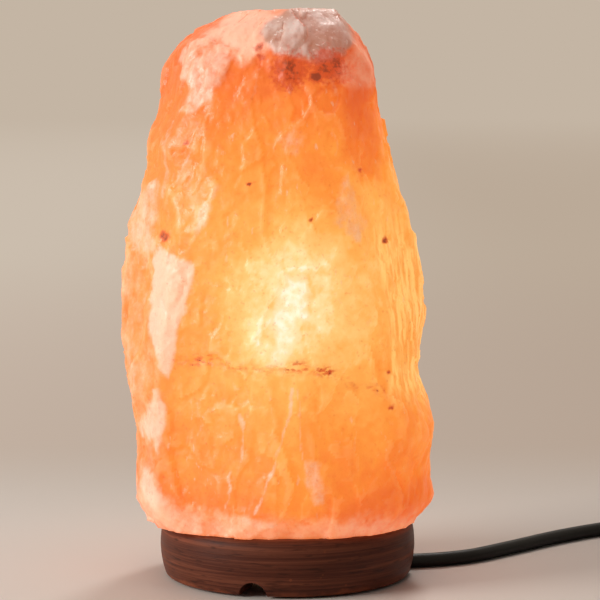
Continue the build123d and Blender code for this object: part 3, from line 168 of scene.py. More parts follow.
def soft_step(value, low, high):
    """0 below low, 1 above high, and smooth in between."""
    part = np.clip((value - low) / (high - low), 0, 1)
    return part * part * (3 - 2 * part)


# %% [markdown]
# ## The crystal's form
# The lump is described by its reach from the axis to the left, right, front and back at fifteen
# heights. Between those four directions its section is a squarish oval, a superellipse, and ten
# split faces cut flats off it. These are the same numbers as the solid crystal's, so the skin that is
# made here stays within a few millimetres of that solid.

# %% The crystal's form
SEAT_Z = 24.0 * MM  # top of the base, where the crystal stands
CAVITY_RADIUS = 22.0 * MM
CAVITY_TOP_Z = 149.0 * MM
SQUARENESS = 2.3
APEX_RISE = 0.6 * MM
TOP_Z = 238.2 * MM  # what stands above this is worn down
TOP_WEAR = 0.3  # how much of it is left
# Height above the seat, and the reach to the left, right, front and back, in millimetres.
LEVELS = np.array([
    (0.0, 60.3, 54.5, 48.0, 47.0),
    (7.5, 65.0, 62.0, 51.5, 50.0),
    (22.0, 64.4, 60.2, 54.0, 52.0),
    (42.0, 64.4, 61.0, 55.0, 53.0),
    (55.0, 65.0, 57.5, 55.0, 54.0),
    (78.0, 68.9, 56.0, 54.0, 54.5),
    (104.0, 69.5, 56.2, 52.0, 53.5),
    (122.5, 68.0, 53.2, 49.5, 51.0),
    (141.0, 61.0, 46.5, 45.5, 48.0),
    (160.0, 58.2, 41.6, 42.0, 44.0),
    (176.5, 54.2, 38.0, 39.0, 40.5),
    (191.5, 51.5, 36.2, 35.0, 36.0),
    (202.0, 43.5, 31.0, 30.0, 30.5),
    (209.5, 33.5, 26.0, 24.0, 23.0),
    (213.4, 20.5, 19.5, 16.0, 14.0),
]) * MM
# Direction of each split face in degrees, its distance from the axis at a middle height above the
# seat, that height, and how far the face leans towards the axis in degrees.
SPLIT_FACES = (
    (214, 60, 105, 5),
    (247, 52.5, 50, -1),
    (292, 52, 75, 4),
    (322, 52.5, 95, 9),
    (205, 49, 178, 16),
    (262, 38, 175, 12),
    (18, 52, 92, 4),
    (62, 52, 60, 3),
    (108, 50, 100, 7),
    (152, 60, 70, 2),
)
SOFTENING = 3.0 * MM  # the levels' corners are averaged over this much height, up and down
COLUMNS = 384
SKIN_ROWS = 206
CAP_ROWS = 13


def level_reach(height):
    """Reach to the left, right, front and back at heights above the seat, without sharp corners."""
    offsets = np.linspace(-SOFTENING, SOFTENING, 7)
    spread = np.clip(height[:, None] + offsets, 0, LEVELS[-1, 0])
    return [np.interp(spread, LEVELS[:, 0], LEVELS[:, side]).mean(axis=1)[:, None] for side in (1, 2, 3, 4)]


def oval_radius(angle, height):
    """The superellipse: the n-th powers of x over its reach and y over its reach add up to one."""
    left, right, front, back = level_reach(height)
    along = np.abs(np.cos(angle)) / np.where(np.cos(angle) > 0, right, left)
    across = np.abs(np.sin(angle)) / np.where(np.sin(angle) > 0, back, front)
    return (along**SQUARENESS + across**SQUARENESS) ** (-1 / SQUARENESS)


def cut_by_faces(radius, angle, height, roughness):
    """Brings the radius in to each flat face, wherever the face lies inside it."""
    for azimuth, distance, middle, lean in SPLIT_FACES:
        facing = np.cos(angle - math.radians(azimuth))
        limit = distance * MM - math.tan(math.radians(lean)) * (height[:, None] - middle * MM)
        on_face = (limit + roughness) / np.maximum(facing, 0.2)
        radius = np.where(facing > 0.2, np.minimum(radius, on_face), radius)
    return radius


def even_heights(count):
    """Heights above the seat, evenly spaced along the crystal's side rather than along the axis."""
    fine = np.linspace(0, LEVELS[-1, 0], 2000)
    mean_reach = np.mean(level_reach(fine), axis=0)[:, 0]
    steps = np.hypot(np.diff(fine), np.diff(mean_reach))
    travel = np.concatenate([[0], np.cumsum(steps)])
    return np.interp(np.linspace(0, travel[-1], count), travel, fine)


def ring_points(radius, angle, z):
    """Points in space from a grid of radii, the angle of each column and the height of each row."""
    z = np.broadcast_to(z, radius.shape)
    return np.stack([radius * np.cos(angle), radius * np.sin(angle), z], axis=-1)


def grid_normals(points):
    """Outward directions on a grid that closes round its rows, from the steps to its neighbours."""
    round_step = np.roll(points, -1, axis=1) - np.roll(points, 1, axis=1)
    up_step = np.gradient(points, axis=0)
    normal = np.cross(round_step, up_step)
    return normal / np.linalg.norm(normal, axis=-1, keepdims=True)


# %% [markdown]
# ## The crystal's broken skin
# Three things roughen the smooth form, and each one follows how salt breaks. Low lumps come from
# noise. The split faces then cut through the lumps, so that they stay almost flat. Last, the skin is
# broken into small flats: seeds are scattered through the lump, every point belongs to the seed
# nearest to it, and each seed's patch leans its own way. Where two patches meet there is a crisp edge.
# The outline also swells or falls back in a few places, and the foot runs in a shallow wave.

# %% The crystal's skin
LUMPS = ((30.0 * MM, 0.9 * MM, 11), (12.0 * MM, 0.5 * MM, 21))  # size, height and seed
FACE_ROUGHNESS = 0.3 * MM
# Size of the flats, how far they lean as a share of one, how much taller than wide they are, and seed.
FLATS = ((24.0 * MM, 0.075, 1.7, 101), (9.5 * MM, 0.085, 1.4, 102), (4.2 * MM, 0.07, 1.2, 103))
FLAT_EDGE_WANDER = 0.25  # how unevenly the flats' edges run, as a share of their size
GRAIN = ((2.4 * MM, 0.12 * MM, 41),)
FOOT_WAVE = 1.6 * MM  # how unevenly the crystal's foot runs round the base
FOOT_WAVE_SIZE = 16 * MM
FOOT_WAVE_HEIGHT = 9 * MM
# Places where the outline swells or falls back: azimuth and height, how far it reaches, and how much.
SWELLS = (
    (180, 199, 9, -1.4),
    (180, 182, 6, 1.0),
    (180, 173, 6, -1.2),
    (0, 66, 11, 1.8),
    (0, 90, 9, -1.6),
    (0, 113, 7, 1.2),
    (0, 26, 7, -2.5),
    (180, 25, 6, -2.0),
)


def scattered_flats(points, size, lean, tallness, seed):
    """For each point, its height over the smooth skin on a leaning flat, and the flat's number."""
    squeeze = np.array([1, 1, 1 / tallness])
    wander = [value_noise(points, 0.6 * size, seed + axis) for axis in (1, 2, 3)]
    moved = (points + FLAT_EDGE_WANDER * size * np.stack(wander, axis=-1)) * squeeze / size
    cell = np.floor(moved).astype(np.int64)
    scatter = np.random.default_rng(seed).uniform(0, 1, (NOISE_VALUES, 3))
    leans = np.random.default_rng(seed + 4).uniform(-lean, lean, (NOISE_VALUES, 3))
    nearest = np.full(points.shape[:-1], np.inf)
    number = np.zeros(points.shape[:-1], int)
    centre = np.zeros(points.shape)
    for step in itertools.product((-1, 0, 1), repeat=3):
        here = lattice_number(cell + np.array(step))
        place = cell + np.array(step) + scatter[here]
        away = np.linalg.norm(moved - place, axis=-1)
        closer = away < nearest
        nearest = np.where(closer, away, nearest)
        number = np.where(closer, here, number)
        centre = np.where(closer[..., None], place, centre)
    offset = (moved - centre) * size
    return np.sum(offset * leans[number], axis=-1), number


def swells(angle, height):
    """The listed swellings and hollows, each fading out smoothly with distance."""
    total = np.zeros(np.broadcast_shapes(angle.shape, height[:, None].shape))
    for azimuth, up, reach, amount in SWELLS:
        turn = np.cos(angle - math.radians(azimuth))
        fade = np.exp(-(((SEAT_Z + height[:, None] - up * MM) / (reach * MM)) ** 2))
        total += amount * MM * fade * soft_step(turn, 0.3, 0.95)
    return total


def lumpy_skin():
    """The crystal's side and cap as one grid of points, from the seat to just below the apex."""
    angle = np.linspace(0, 2 * math.pi, COLUMNS, endpoint=False)[None, :]
    height = even_heights(SKIN_ROWS)
    radius = oval_radius(angle, height)
    smooth = ring_points(radius, angle, SEAT_Z + height[:, None])
    for size, amount, seed in LUMPS:
        radius = radius + amount * layered_noise(smooth, size, seed, layers=2)
    roughness = FACE_ROUGHNESS * layered_noise(smooth, 9 * MM, 51, layers=3)
    radius = cut_by_faces(radius, angle, height, roughness) + swells(angle, height)
    foot = soft_step(height, FOOT_WAVE_HEIGHT, 0)[:, None]
    radius = radius + FOOT_WAVE * foot * layered_noise(smooth, FOOT_WAVE_SIZE, 55, layers=3)
    side = ring_points(radius, angle, SEAT_Z + height[:, None])
    share = np.linspace(0, 1, CAP_ROWS + 2)[1:-1, None, None]
    rim = side[-1]
    apex = np.array([rim[:, 0].mean(), rim[:, 1].mean(), SEAT_Z + LEVELS[-1, 0] + APEX_RISE])
    cap = rim[None] * (1 - share) + apex * share
    cap[..., 2] = rim[None, :, 2] + APEX_RISE * np.sin(share[..., 0] * math.pi / 2)
    return np.concatenate([side, cap]), apex


def rough_skin():
    """The lumpy skin with its flats and grain, the apex, and a random tone for each flat."""
    points, apex = lumpy_skin()
    normals = grid_normals(points)
    height = np.zeros(points.shape[:-1])
    tone = np.zeros(points.shape[:-1])
    for size, lean, tallness, seed in FLATS:
        rise, number = scattered_flats(points, size, lean, tallness, seed)
        height += rise
        tone += np.random.default_rng(seed + 5).uniform(-1, 1, NOISE_VALUES)[number] / len(FLATS)
    for size, amount, seed in GRAIN:
        height += amount * value_noise(points, size, seed)
    points = points + normals * height[..., None]
    points[0, :, 2] = SEAT_Z
    top = np.maximum(points[..., 2] - TOP_Z, 0)
    points[..., 2] -= (1 - TOP_WEAR) * top
    return points, apex, tone


skin, apex, tone = rough_skin()
print("crystal skin:", skin.shape, "x", skin[..., 0].min(), skin[..., 0].max(), "top", skin[..., 2].max())

# %% [markdown]
# ## What the front of the crystal shows
# The front has features that anyone would know it by: pale frosted flakes, a grey cap of dull salt,
# a rusty crack and a hot spot in front of the bulb. Each is placed by a short outline, in
# millimetres across and up, as it is seen from in front on the plane through the lamp's axis. A point
# of the skin that is nearer to the camera than that plane seems a little larger there, and
# `seen_from_front` allows for it.

# %% Outlines on the front
CAMERA_AWAY = -CAMERA_PLACE[1]
CAMERA_ACROSS = CAMERA_PLACE[0]
CAMERA_UP = CAMERA_PLACE[2]

# Each flake has how strongly it is frosted, how far it stands out in millimetres, and its outline.
FLAKES = {
    "upper_left": (0.66, 0.5, [
        (-43, 223), (-40, 226), (-33, 227), (-26, 224), (-23, 221), (-23, 216), (-26, 211), (-30, 206),
        (-32, 200), (-36, 198), (-39, 195), (-45, 196), (-43, 201), (-41, 206), (-45, 210), (-44, 215),
        (-45, 218),
    ]),
    "small_flake": (0.45, 0.2, [
        (-8, 183), (-5, 186), (0, 187), (4, 190), (8, 185), (7, 180), (3, 177), (-1, 178), (-4, 182),
        (-6, 179),
    ]),
    "flame": (0.5, 0.3, [
        (25, 171), (28, 165), (30, 157), (33, 148), (32, 140), (28, 141), (23, 146), (19, 148), (19, 154),
        (20, 160), (22, 166),
    ]),
    "slanting_streak": (0.5, 0.3, [
        (-30, 170), (-28, 166), (-30, 159), (-32, 152), (-34, 148), (-37, 145), (-39, 141), (-41.5, 138.5),
        (-41, 144), (-38, 152), (-37, 156), (-34, 160), (-31, 165),
    ]),
    "flank_top": (0.6, 0.3, [
        (-58, 168), (-53, 166), (-54, 160), (-55, 152), (-56, 144), (-54, 139), (-56, 136), (-62, 137),
        (-66, 138), (-68, 148), (-65, 156), (-61, 163),
    ]),
    "flank_facet": (1.0, 0.4, [
        (-54, 140), (-46, 135), (-41, 133), (-39, 130), (-40, 123), (-42, 115), (-45, 107), (-47, 98),
        (-49, 89), (-51, 83), (-54, 88), (-57, 98), (-59, 106), (-58, 117), (-57, 123), (-56, 129),
        (-57, 133),
    ]),
    "flank_low": (0.8, 0.4, [
        (-55, 79), (-52, 73), (-51, 66), (-53, 59), (-55, 51), (-56, 52), (-57, 57), (-61, 59), (-63, 64),
        (-61, 67), (-58, 73), (-57, 78),
    ]),
    "flank_foot": (0.8, 0.4, [
        (-61, 46), (-57, 43), (-55, 38), (-53, 33), (-50, 30), (-54, 28), (-56, 26), (-59, 29), (-62, 34),
        (-63, 38),
    ]),
    "edge_strip": (0.6, 0.3, [(-68, 100), (-66, 98), (-64, 85), (-64, 73), (-65.5, 73), (-67, 86)]),
    "foot_flakes": (0.6, 0.3, [
        (-22, 24), (-18, 25), (-12, 22), (-7, 22), (-2, 20), (-7, 18), (-16, 20), (-20, 20),
    ]),
    "speckled": (0.58, 0.3, [(7, 48), (13, 49), (16, 40), (15.5, 30), (12, 28), (8, 36)]),
    "diamond": (0.7, 0.2, [(-24, 84.5), (-22, 81), (-20, 79), (-23, 78.5)]),
}
# Pale veins, each with its strength, its width in millimetres and the line it runs along.
VEINS = (
    (0.62, 1.4, [(2, 79), (0, 66), (-5, 48), (-10, 34), (-14, 26)]),
    (0.52, 1.1, [(4, 79), (5, 66), (6, 52), (9, 40)]),
    (0.58, 1.4, [(-20, 68), (-19, 60), (-20, 48)]),
    (0.52, 1.2, [(-25, 44), (-24, 36), (-27, 28)]),
    (0.37, 1.1, [(27, 66), (28.5, 60), (28, 52)]),
    (0.31, 1.2, [(-4, 168), (-6, 156), (-10, 146)]),
    (0.43, 1.6, [(-48, 192), (-52, 182), (-50, 172), (-53, 160)]),
    (0.37, 1.3, [(-36, 190), (-41, 178), (-47, 168)]),
    (0.37, 1.5, [(17, 212), (21, 202), (20, 194)]),
    (0.40, 1.2, [(19, 189), (21, 183), (20, 178)]),
    (0.34, 1.5, [(-12, 214), (-14, 204), (-17, 196)]),
    (0.31, 1.0, [(-22, 204), (-25, 193)]),
    (0.37, 1.2, [(-38, 74), (-37, 66), (-38, 58)]),
)
GREY_CAP = [
    (-11, 231), (-5, 236), (5, 241), (14, 242), (22, 238), (26, 232), (28, 225), (25, 221), (19, 217),
    (13, 216), (7, 218), (1, 219), (-5, 221), (-10, 225),
]
GREY_CAP_RISE = 0.8 * MM
# Zones that glow more or less than their distance from the bulb says.
GLOW_ZONES = (
    (0.08, 9.0, [
        (-11, 142), (9, 149), (24, 142), (36, 127), (41, 104), (39, 81), (18, 86), (-10, 87), (-29, 89),
        (-31, 117), (-23, 133),
    ]),
    (0.07, 6.0, [(-30, 128), (-24, 136), (-8, 140), (-8, 94), (-26, 96)]),
    (-0.08, 8.0, [(-14, 178), (24, 178), (20, 157), (-8, 157)]),
    (-0.20, 4.0, [(26, 236), (40, 224), (40, 206), (28, 206), (20, 212), (27, 222)]),
    (-0.16, 4.0, [(24, 206), (33, 205), (38, 188), (39, 168), (30, 168), (24, 180)]),
    (-0.08, 4.0, [(27, 31), (46, 38), (61, 40), (62, 29), (60, 23), (39, 18), (22, 14)]),
    (0.08, 1.0, [(1, 78), (4, 78), (5, 61), (8, 44), (15, 27), (5, 22), (-11, 26), (-7, 43), (-3, 58)]),
)
# Zones where the salt is pale over a wide area: hazy salt, and at the upper left rim and down the left flank
# also a painted highlight of the light from the left.
HAZE_AND_HIGHLIGHT_ZONES = (
    (0.95, 5.0, [(-38, 226), (-21, 240), (0, 240), (4, 230), (-8, 222), (-18, 216), (-30, 224)]),
    (0.6, 5.0, [(26, 234), (38, 222), (38, 206), (28, 204), (17, 212), (26, 222)]),
    (0.72, 7.0, [(-66, 44), (-45, 28), (0, 22), (42, 25), (64, 25), (66, 14), (0, 10), (-66, 16)]),
    (0.35, 6.0, [(-76, 175), (-60, 172), (-54, 140), (-42, 134), (-50, 80), (-56, 30), (-76, 30)]),
)
HOT_CORE = [
    (-1, 127), (3, 127.5), (7, 129), (9.5, 123), (10, 118), (9, 113), (9, 109), (5, 106), (4.5, 99), (2, 94),
    (-2, 91), (-4, 88), (-9, 88), (-7, 93), (-5, 99), (-7, 106), (-6, 112), (-4, 119),
]
CRACK = [
    (-48, 91), (-42, 91), (-30, 92), (-23, 87.5), (-15, 88), (-10, 87), (-4, 88), (3, 88), (10, 87), (18, 86),
    (24, 84), (29.5, 79.5), (35, 79), (40.5, 78.5),
]
# Where the crack is rusty: place across, reach to both sides, and strength.
CRACK_CLUSTERS = ((-36, 9, 1.4), (-22, 5, 0.5), (4, 8, 1.2), (16, 7, 1.4), (37, 7, 0.8))
RIDGE = [(36, 138), (39, 127), (42, 113), (43, 98), (43, 87), (42, 79)]
# Small stains: place across and up, radius, and how strong, in millimetres.
RUST_SPOTS = (
    (-52, 144, 1.7, 0.8), (41, 142, 1.3, 0.9), (-15.5, 165, 0.7, 1.0), (-42, 183, 0.8, 0.8),
    (31, 172, 0.9, 0.7), (10, 151, 0.6, 0.9), (44, 71, 1.0, 0.8), (43, 87, 0.8, 1.0), (1, 215, 3.4, 0.8),
    (0, 210, 2.4, 0.6), (12, 211, 2.2, 1.0), (15, 214, 2.4, 0.7), (21, 217, 2.6, 0.8), (-12, 223, 1.6, 0.7),
    (-11, 219, 1.2, 0.6), (1, 213, 6.5, 0.62), (17, 215, 6.5, 0.60), (8, 216, 3.0, 0.4), (18, 86, 0.9, 0.7),
    (41, 79, 0.8, 0.6),
)

# %% Painting helpers


def seen_from_front(points):
    """Where points seem to lie, across and up, on the plane through the axis."""
    shrink = CAMERA_AWAY / (CAMERA_AWAY + points[:, 1])
    across = CAMERA_ACROSS + (points[:, 0] - CAMERA_ACROSS) * shrink
    up = CAMERA_UP + (points[:, 2] - CAMERA_UP) * shrink
    return np.stack([across, up], axis=1)


def side_distance(places, start, end):
    """Distance from each place to the straight line between two points."""
    side = end - start
    share = np.clip((places - start) @ side / (side @ side), 0, 1)
    return np.linalg.norm(places - start - share[:, None] * side, axis=1)


def line_distance(places, line):
    """Distance from each place to a line of several straight parts."""
    corners = np.array(line, float) * MM
    return np.min([side_distance(places, a, b) for a, b in zip(corners, corners[1:])], axis=0)


def depth_inside(places, outline):
    """How far inside a closed outline each place lies, or how far outside as a negative number."""
    corners = np.array(outline, float) * MM
    inside = np.zeros(len(places), bool)
    for start, end in zip(corners, np.roll(corners, -1, axis=0)):
        if start[1] == end[1]:
            continue
        level = (places[:, 1] > start[1]) != (places[:, 1] > end[1])
        edge = start[0] + (places[:, 1] - start[1]) * (end[0] - start[0]) / (end[1] - start[1])
        inside ^= level & (places[:, 0] < edge)
    nearest = line_distance(places, list(outline) + [outline[0]])
    return np.where(inside, nearest, -nearest)


# %% Paint on the skin
flat_skin = skin.reshape(-1, 3)
facing_front = soft_step(-grid_normals(skin).reshape(-1, 3)[:, 1], -0.12, 0.12)
places = seen_from_front(flat_skin)
wobble = np.stack([value_noise(flat_skin, 4 * MM, 61), value_noise(flat_skin, 4 * MM, 62)], axis=1)
wobble += 0.5 * np.stack([value_noise(flat_skin, 1.8 * MM, 63), value_noise(flat_skin, 1.8 * MM, 64)], axis=1)
rough_places = places + 0.9 * MM * wobble

milk = np.zeros(len(flat_skin))
rise = np.zeros(len(flat_skin))
for strength, standing, outline in FLAKES.values():
    depth = depth_inside(rough_places, outline)
    milk = np.maximum(milk, strength * soft_step(depth, -2.2 * MM, 2.0 * MM))
    rise = np.maximum(rise, standing * MM * soft_step(depth, -0.6 * MM, 0.9 * MM))
for strength, width, line in VEINS:
    away = line_distance(rough_places, line)
    milk = np.maximum(milk, strength * soft_step(away, width * MM, 0.2 * width * MM))
grey = soft_step(depth_inside(rough_places, GREY_CAP), -1.2 * MM, 1.6 * MM)
rise = np.maximum(rise, GREY_CAP_RISE * soft_step(depth_inside(rough_places, GREY_CAP), -1.0 * MM, 3.0 * MM))
crack_distance = line_distance(rough_places, CRACK)

# The sides that the photograph doesn't show get frosted flakes of the same kind, from noise.
hidden = 1 - facing_front
drawn_out = flat_skin * np.array([1, 1, 0.4])
far_flakes = soft_step(layered_noise(drawn_out, 15 * MM, 71, layers=4), 0.2, 0.95)
milk = milk * facing_front + 0.7 * far_flakes * hidden
rise = rise * facing_front + 0.4 * MM * soft_step(far_flakes, 0.2, 0.6) * hidden
grey = grey * facing_front
# Paleness from the zones: hazy salt, with a painted highlight at the upper left and on the left flank.
haze_and_highlight = np.zeros(len(flat_skin))
for strength, softness, outline in HAZE_AND_HIGHLIGHT_ZONES:
    depth = depth_inside(rough_places, outline)
    haze_and_highlight = np.maximum(haze_and_highlight, strength * soft_step(depth, -softness * MM, softness * MM))
hidden_haze = soft_step(layered_noise(flat_skin, 40 * MM, 75, layers=3), -0.1, 0.6)
haze_and_highlight = haze_and_highlight * facing_front + 0.3 * hidden * hidden_haze
crack_distance = np.where(facing_front > 0.5, crack_distance, 1.0)

crack = np.zeros(len(flat_skin))
for across, reach, strength in CRACK_CLUSTERS:
    away = np.abs(rough_places[:, 0] - across * MM)
    crack = np.maximum(crack, strength * soft_step(away, reach * MM, 0.3 * reach * MM))
crack = np.maximum(crack, 0.4) * soft_step(crack_distance, 3.4 * MM, 0.2 * MM)

rust = np.zeros(len(flat_skin))
for across, up, radius, strength in RUST_SPOTS:
    away = np.linalg.norm(rough_places - np.array([across, up]) * MM, axis=1)
    rust = np.maximum(rust, strength * soft_step(away, 2.0 * radius * MM, 0.3 * radius * MM))
rust = rust * facing_front
rust = np.maximum(rust, 0.8 * hidden * soft_step(value_noise(flat_skin, 7 * MM, 81), 0.86, 0.95))

ridge = np.array(RIDGE, float) * MM
ridge_across = np.interp(places[:, 1], ridge[::-1, 1], ridge[::-1, 0])
flank = soft_step(places[:, 0] - ridge_across, -0.5 * MM, 2.0 * MM) * facing_front
flank = flank * soft_step(places[:, 1], 68 * MM, 82 * MM) * soft_step(places[:, 1], 160 * MM, 135 * MM)

# The crack is a shallow groove.
groove = 0.5 * MM * soft_step(crack_distance, 1.6 * MM, 0.0)
shift = (rise - groove).reshape(skin.shape[:-1])
painted = skin + grid_normals(skin) * shift[..., None]

# %% [markdown]
# ## How the glow falls off
# The bulb stands in the bore, so the skin is brightest in front of it and fades with distance, by the
# same share over each stretch. The salt in front of the bulb is clear enough to show its light as a
# hot, broken patch.

# %% Glow
BULB_LOW_Z = 87.0 * MM
BULB_HIGH_Z = 138.0 * MM
GLOW_START = 38.0 * MM  # nearer to the bulb than this the skin is as bright as it gets
GLOW_REACH = 42.0 * MM


def bulb_distance(points):
    """Distance from each point to the upright line through the bulb."""
    height = np.clip(points[:, 2], BULB_LOW_Z, BULB_HIGH_Z)
    return np.linalg.norm(points - np.stack([0 * height, 0 * height, height], axis=1), axis=1)


def glow_of(points):
    """How brightly salt glows: 1 within GLOW_START of the bulb, then down by e for each GLOW_REACH."""
    return np.minimum(np.exp(-(bulb_distance(points) - GLOW_START) / GLOW_REACH), 1)


flat_painted = painted.reshape(-1, 3)
glow = glow_of(flat_painted)
for amount, softness, outline in GLOW_ZONES:
    glow += amount * soft_step(depth_inside(places, outline), -softness * MM, softness * MM) * facing_front
core_noise = value_noise(flat_painted, 4 * MM, 91) + 0.6 * value_noise(flat_painted, 1.8 * MM, 92)
core = soft_step(depth_inside(places, HOT_CORE) + 2.0 * MM * core_noise, -4.0 * MM, 3.5 * MM) * facing_front
halo = soft_step(depth_inside(places, HOT_CORE), -22 * MM, 3.0 * MM) * facing_front
back_core = hidden * soft_step(bulb_distance(flat_painted), 56 * MM, 50 * MM)
back_core *= soft_step(layered_noise(flat_painted, 14 * MM, 95, layers=4), 0.1, 1.1)
glow = np.clip(glow + 0.13 * halo, 0, 0.92)
core = np.maximum(core, 0.5 * back_core)

# %% Edges, for painted light on the ridges and painted shade in the hollows
EDGE_BLUR = 4  # points each way


def blurred(values, reach):
    """The average over a square of neighbours on the grid, which closes round its rows."""
    total = np.zeros_like(values)
    for step in range(-reach, reach + 1):
        total += np.roll(values, step, axis=1)
    padded = np.pad(total, ((reach, reach), (0, 0)), mode="edge")
    rows = len(values)
    return sum(padded[step:step + rows] for step in range(2 * reach + 1)) / (2 * reach + 1) ** 2


# How far each point stands out from its neighbours. From this the salt's material paints ridges lighter and
# hollows darker: painted light and shade.
outward = np.linalg.norm(painted[..., :2], axis=-1)
edge = np.clip(0.5 + (outward - blurred(outward, EDGE_BLUR)) / (1.2 * MM), 0, 1)

# %% [markdown]
# ## The crystal as one closed mesh
# The mesh is a single grid. It starts at the round top of the bore, runs down the bore's wall,
# out across the underside, up the skin and in over the cap, and ends at the apex.

# %% The crystal's mesh
DOME_ROWS = 7
WALL_ROWS = 6


def bore_rows():
    """Rings from just below the bore's round top down to its mouth."""
    angle = np.linspace(0, 2 * math.pi, COLUMNS, endpoint=False)[None, :]
    dome_z = CAVITY_TOP_Z - CAVITY_RADIUS
    rise = np.linspace(math.pi / 2, 0, DOME_ROWS + 1)[1:, None]
    dome = ring_points(CAVITY_RADIUS * np.cos(rise) + 0 * angle, angle, dome_z + CAVITY_RADIUS * np.sin(rise))
    wall_z = np.linspace(dome_z, SEAT_Z, WALL_ROWS + 1)[1:, None]
    wall = ring_points(CAVITY_RADIUS + 0 * wall_z + 0 * angle, angle, wall_z)
    return np.concatenate([dome, wall])


def paint_on(piece, name, values):
    """Stores one number for each point of a mesh, for its material to read."""
    layer = piece.data.attributes.new(name, "FLOAT", "POINT")
    layer.data.foreach_set("value", np.asarray(values, dtype=np.float32))


bore = bore_rows()
rings = np.concatenate([bore, painted]).reshape(-1, 3)
count = len(bore) + len(painted)
poles = np.array([(0, 0, CAVITY_TOP_Z), apex])
crystal = new_mesh("crystal", np.concatenate([rings, poles]), [
    grid_faces(count, COLUMNS),
    cap_faces(0, COLUMNS, len(rings), upwards=False),
    cap_faces((count - 1) * COLUMNS, COLUMNS, len(rings) + 1, upwards=True),
])
bore_points = bore.size // 3
# Each paint has its values on the skin and the one value that it has inside the bore.
PAINTS = {
    "milk": (milk, 0.0),
    "rust": (rust, 0.0),
    "grey": (grey, 0.0),
    "flank": (flank, 0.0),
    "core": (core, 1.0),
    "crack": (crack, 0.0),
    "glow": (glow, 0.95),
    "edge": (edge.ravel(), 0.5),
    "haze_and_highlight": (haze_and_highlight, 0.0),
    "tone": (tone.ravel(), 0.0),
}
for name, (values, in_bore) in PAINTS.items():
    at_apex = values[-COLUMNS:].mean()
    paint_on(crystal, name, np.concatenate([np.full(bore_points, in_bore), values, [in_bore, at_apex]]))
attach(crystal, "root")
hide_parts("salt_crystal")
print("crystal triangles:", sum(len(face.vertices) - 2 for face in crystal.data.polygons))

# %% [markdown]
# ## The lead
# The lead is a round 6 mm cable, 1.5 m long in two stretches: 0.24 m from the base to the in-line
# switch, and 1.29 m from the switch to the plug. The photograph shows the first 110 mm or so, as it
# swings away from the base. The rest is wound into a neat coil just outside the view.
# A cable bends smoothly and never kinks, so its line is a NURBS curve through loose control points.

# %% The lead's route
CORD_RADIUS = 3.0 * MM
BASE_RADIUS = 54.0 * MM
NOTCH_AZIMUTH = math.radians(10.0)
TABLE_Z = 3.1 * MM  # centre line of the lead where it lies on the table
SWITCH_Z = 8.0 * MM
SWITCH_X = 234.0 * MM
COIL_X, COIL_Y = 192.0 * MM, -42.0 * MM
COIL_LOW_Z, COIL_HIGH_Z = 3.7 * MM, 9.7 * MM
PLUG_Z = 19.65 * MM  # the plug lies on the coil


def out_of_notch(radius):
    """A point on the notch's middle line, at a distance from the base's axis."""
    return radius * math.cos(NOTCH_AZIMUTH), radius * math.sin(NOTCH_AZIMUTH), TABLE_Z


to_switch_route = [
    out_of_notch(BASE_RADIUS),
    out_of_notch(BASE_RADIUS + 20 * MM),
    (95.9 * MM, 35.1 * MM, TABLE_Z),
    (121.5 * MM, 62.5 * MM, TABLE_Z),
    (146.5 * MM, 82.5 * MM, TABLE_Z),
    (168.0 * MM, 93.5 * MM, TABLE_Z),
    (190.0 * MM, 98.5 * MM, TABLE_Z),
    (209.0 * MM, 98.0 * MM, TABLE_Z),
    (226.0 * MM, 90.5 * MM, TABLE_Z + 1.6 * MM),
    (SWITCH_X, 78.0 * MM, SWITCH_Z),
    (SWITCH_X, 58.0 * MM, SWITCH_Z),
]

COIL_TURNS_BELOW = 3.0
COIL_TURNS_ABOVE = 2.0
COIL_STEP_UP = 0.5  # part of a turn in which the lead climbs to the upper layer
COIL_POINTS = 20  # control points in each turn
COIL_OUTER, COIL_INNER = 42.0 * MM, 24.0 * MM
UPPER_INNER, UPPER_OUTER = 27.0 * MM, 39.0 * MM


def coil_route():
    """Control points of the coil: a spiral inwards on the table, a half turn that climbs, and a
    spiral back out on top. They are set a little outside the line that the spline then follows."""
    turns = COIL_TURNS_BELOW + COIL_STEP_UP + COIL_TURNS_ABOVE
    turn = np.arange(0, turns * COIL_POINTS + 1) / COIL_POINTS
    inwards = COIL_OUTER + (COIL_INNER - COIL_OUTER) * turn / COIL_TURNS_BELOW
    climb = np.clip((turn - COIL_TURNS_BELOW) / COIL_STEP_UP, 0, 1)
    out = (turn - COIL_TURNS_BELOW - COIL_STEP_UP) / COIL_TURNS_ABOVE
    outwards = UPPER_INNER + (UPPER_OUTER - UPPER_INNER) * np.clip(out, 0, 1)
    radius = np.where(turn < COIL_TURNS_BELOW, inwards, COIL_INNER + (UPPER_INNER - COIL_INNER) * climb)
    radius = np.where(out > 0, outwards, radius) / math.cos(math.pi / COIL_POINTS) ** 2
    height = COIL_LOW_Z + (COIL_HIGH_Z - COIL_LOW_Z) * climb
    angle = -2 * math.pi * turn
    x = COIL_X + radius * np.cos(angle)
    y = COIL_Y + radius * np.sin(angle)
    return np.stack([x, y, height], axis=1).tolist()


to_plug_route = [
    (SWITCH_X, 0.0, SWITCH_Z),
    (SWITCH_X, -13.0 * MM, SWITCH_Z),
    (SWITCH_X, -26.0 * MM, COIL_LOW_Z),
]
to_plug_route += coil_route()
# Off the coil's upper turn the lead runs on, turns back on itself and rises to the plug. Each point is
# across and out from the coil's middle in millimetres, and its share of the rise to the plug.
TURN_TO_PLUG = ((-39, 14, 0), (-39, 36, 0), (-39, 60, 0.33), (-19.5, 71.5, 0.69), (0, 60, 1), (0, 41, 1))
for across, out, rise in TURN_TO_PLUG:
    height = COIL_HIGH_Z + rise * (PLUG_Z - COIL_HIGH_Z)
    to_plug_route.append((COIL_X + across * MM, COIL_Y + out * MM, height))

# %% Cords as curves


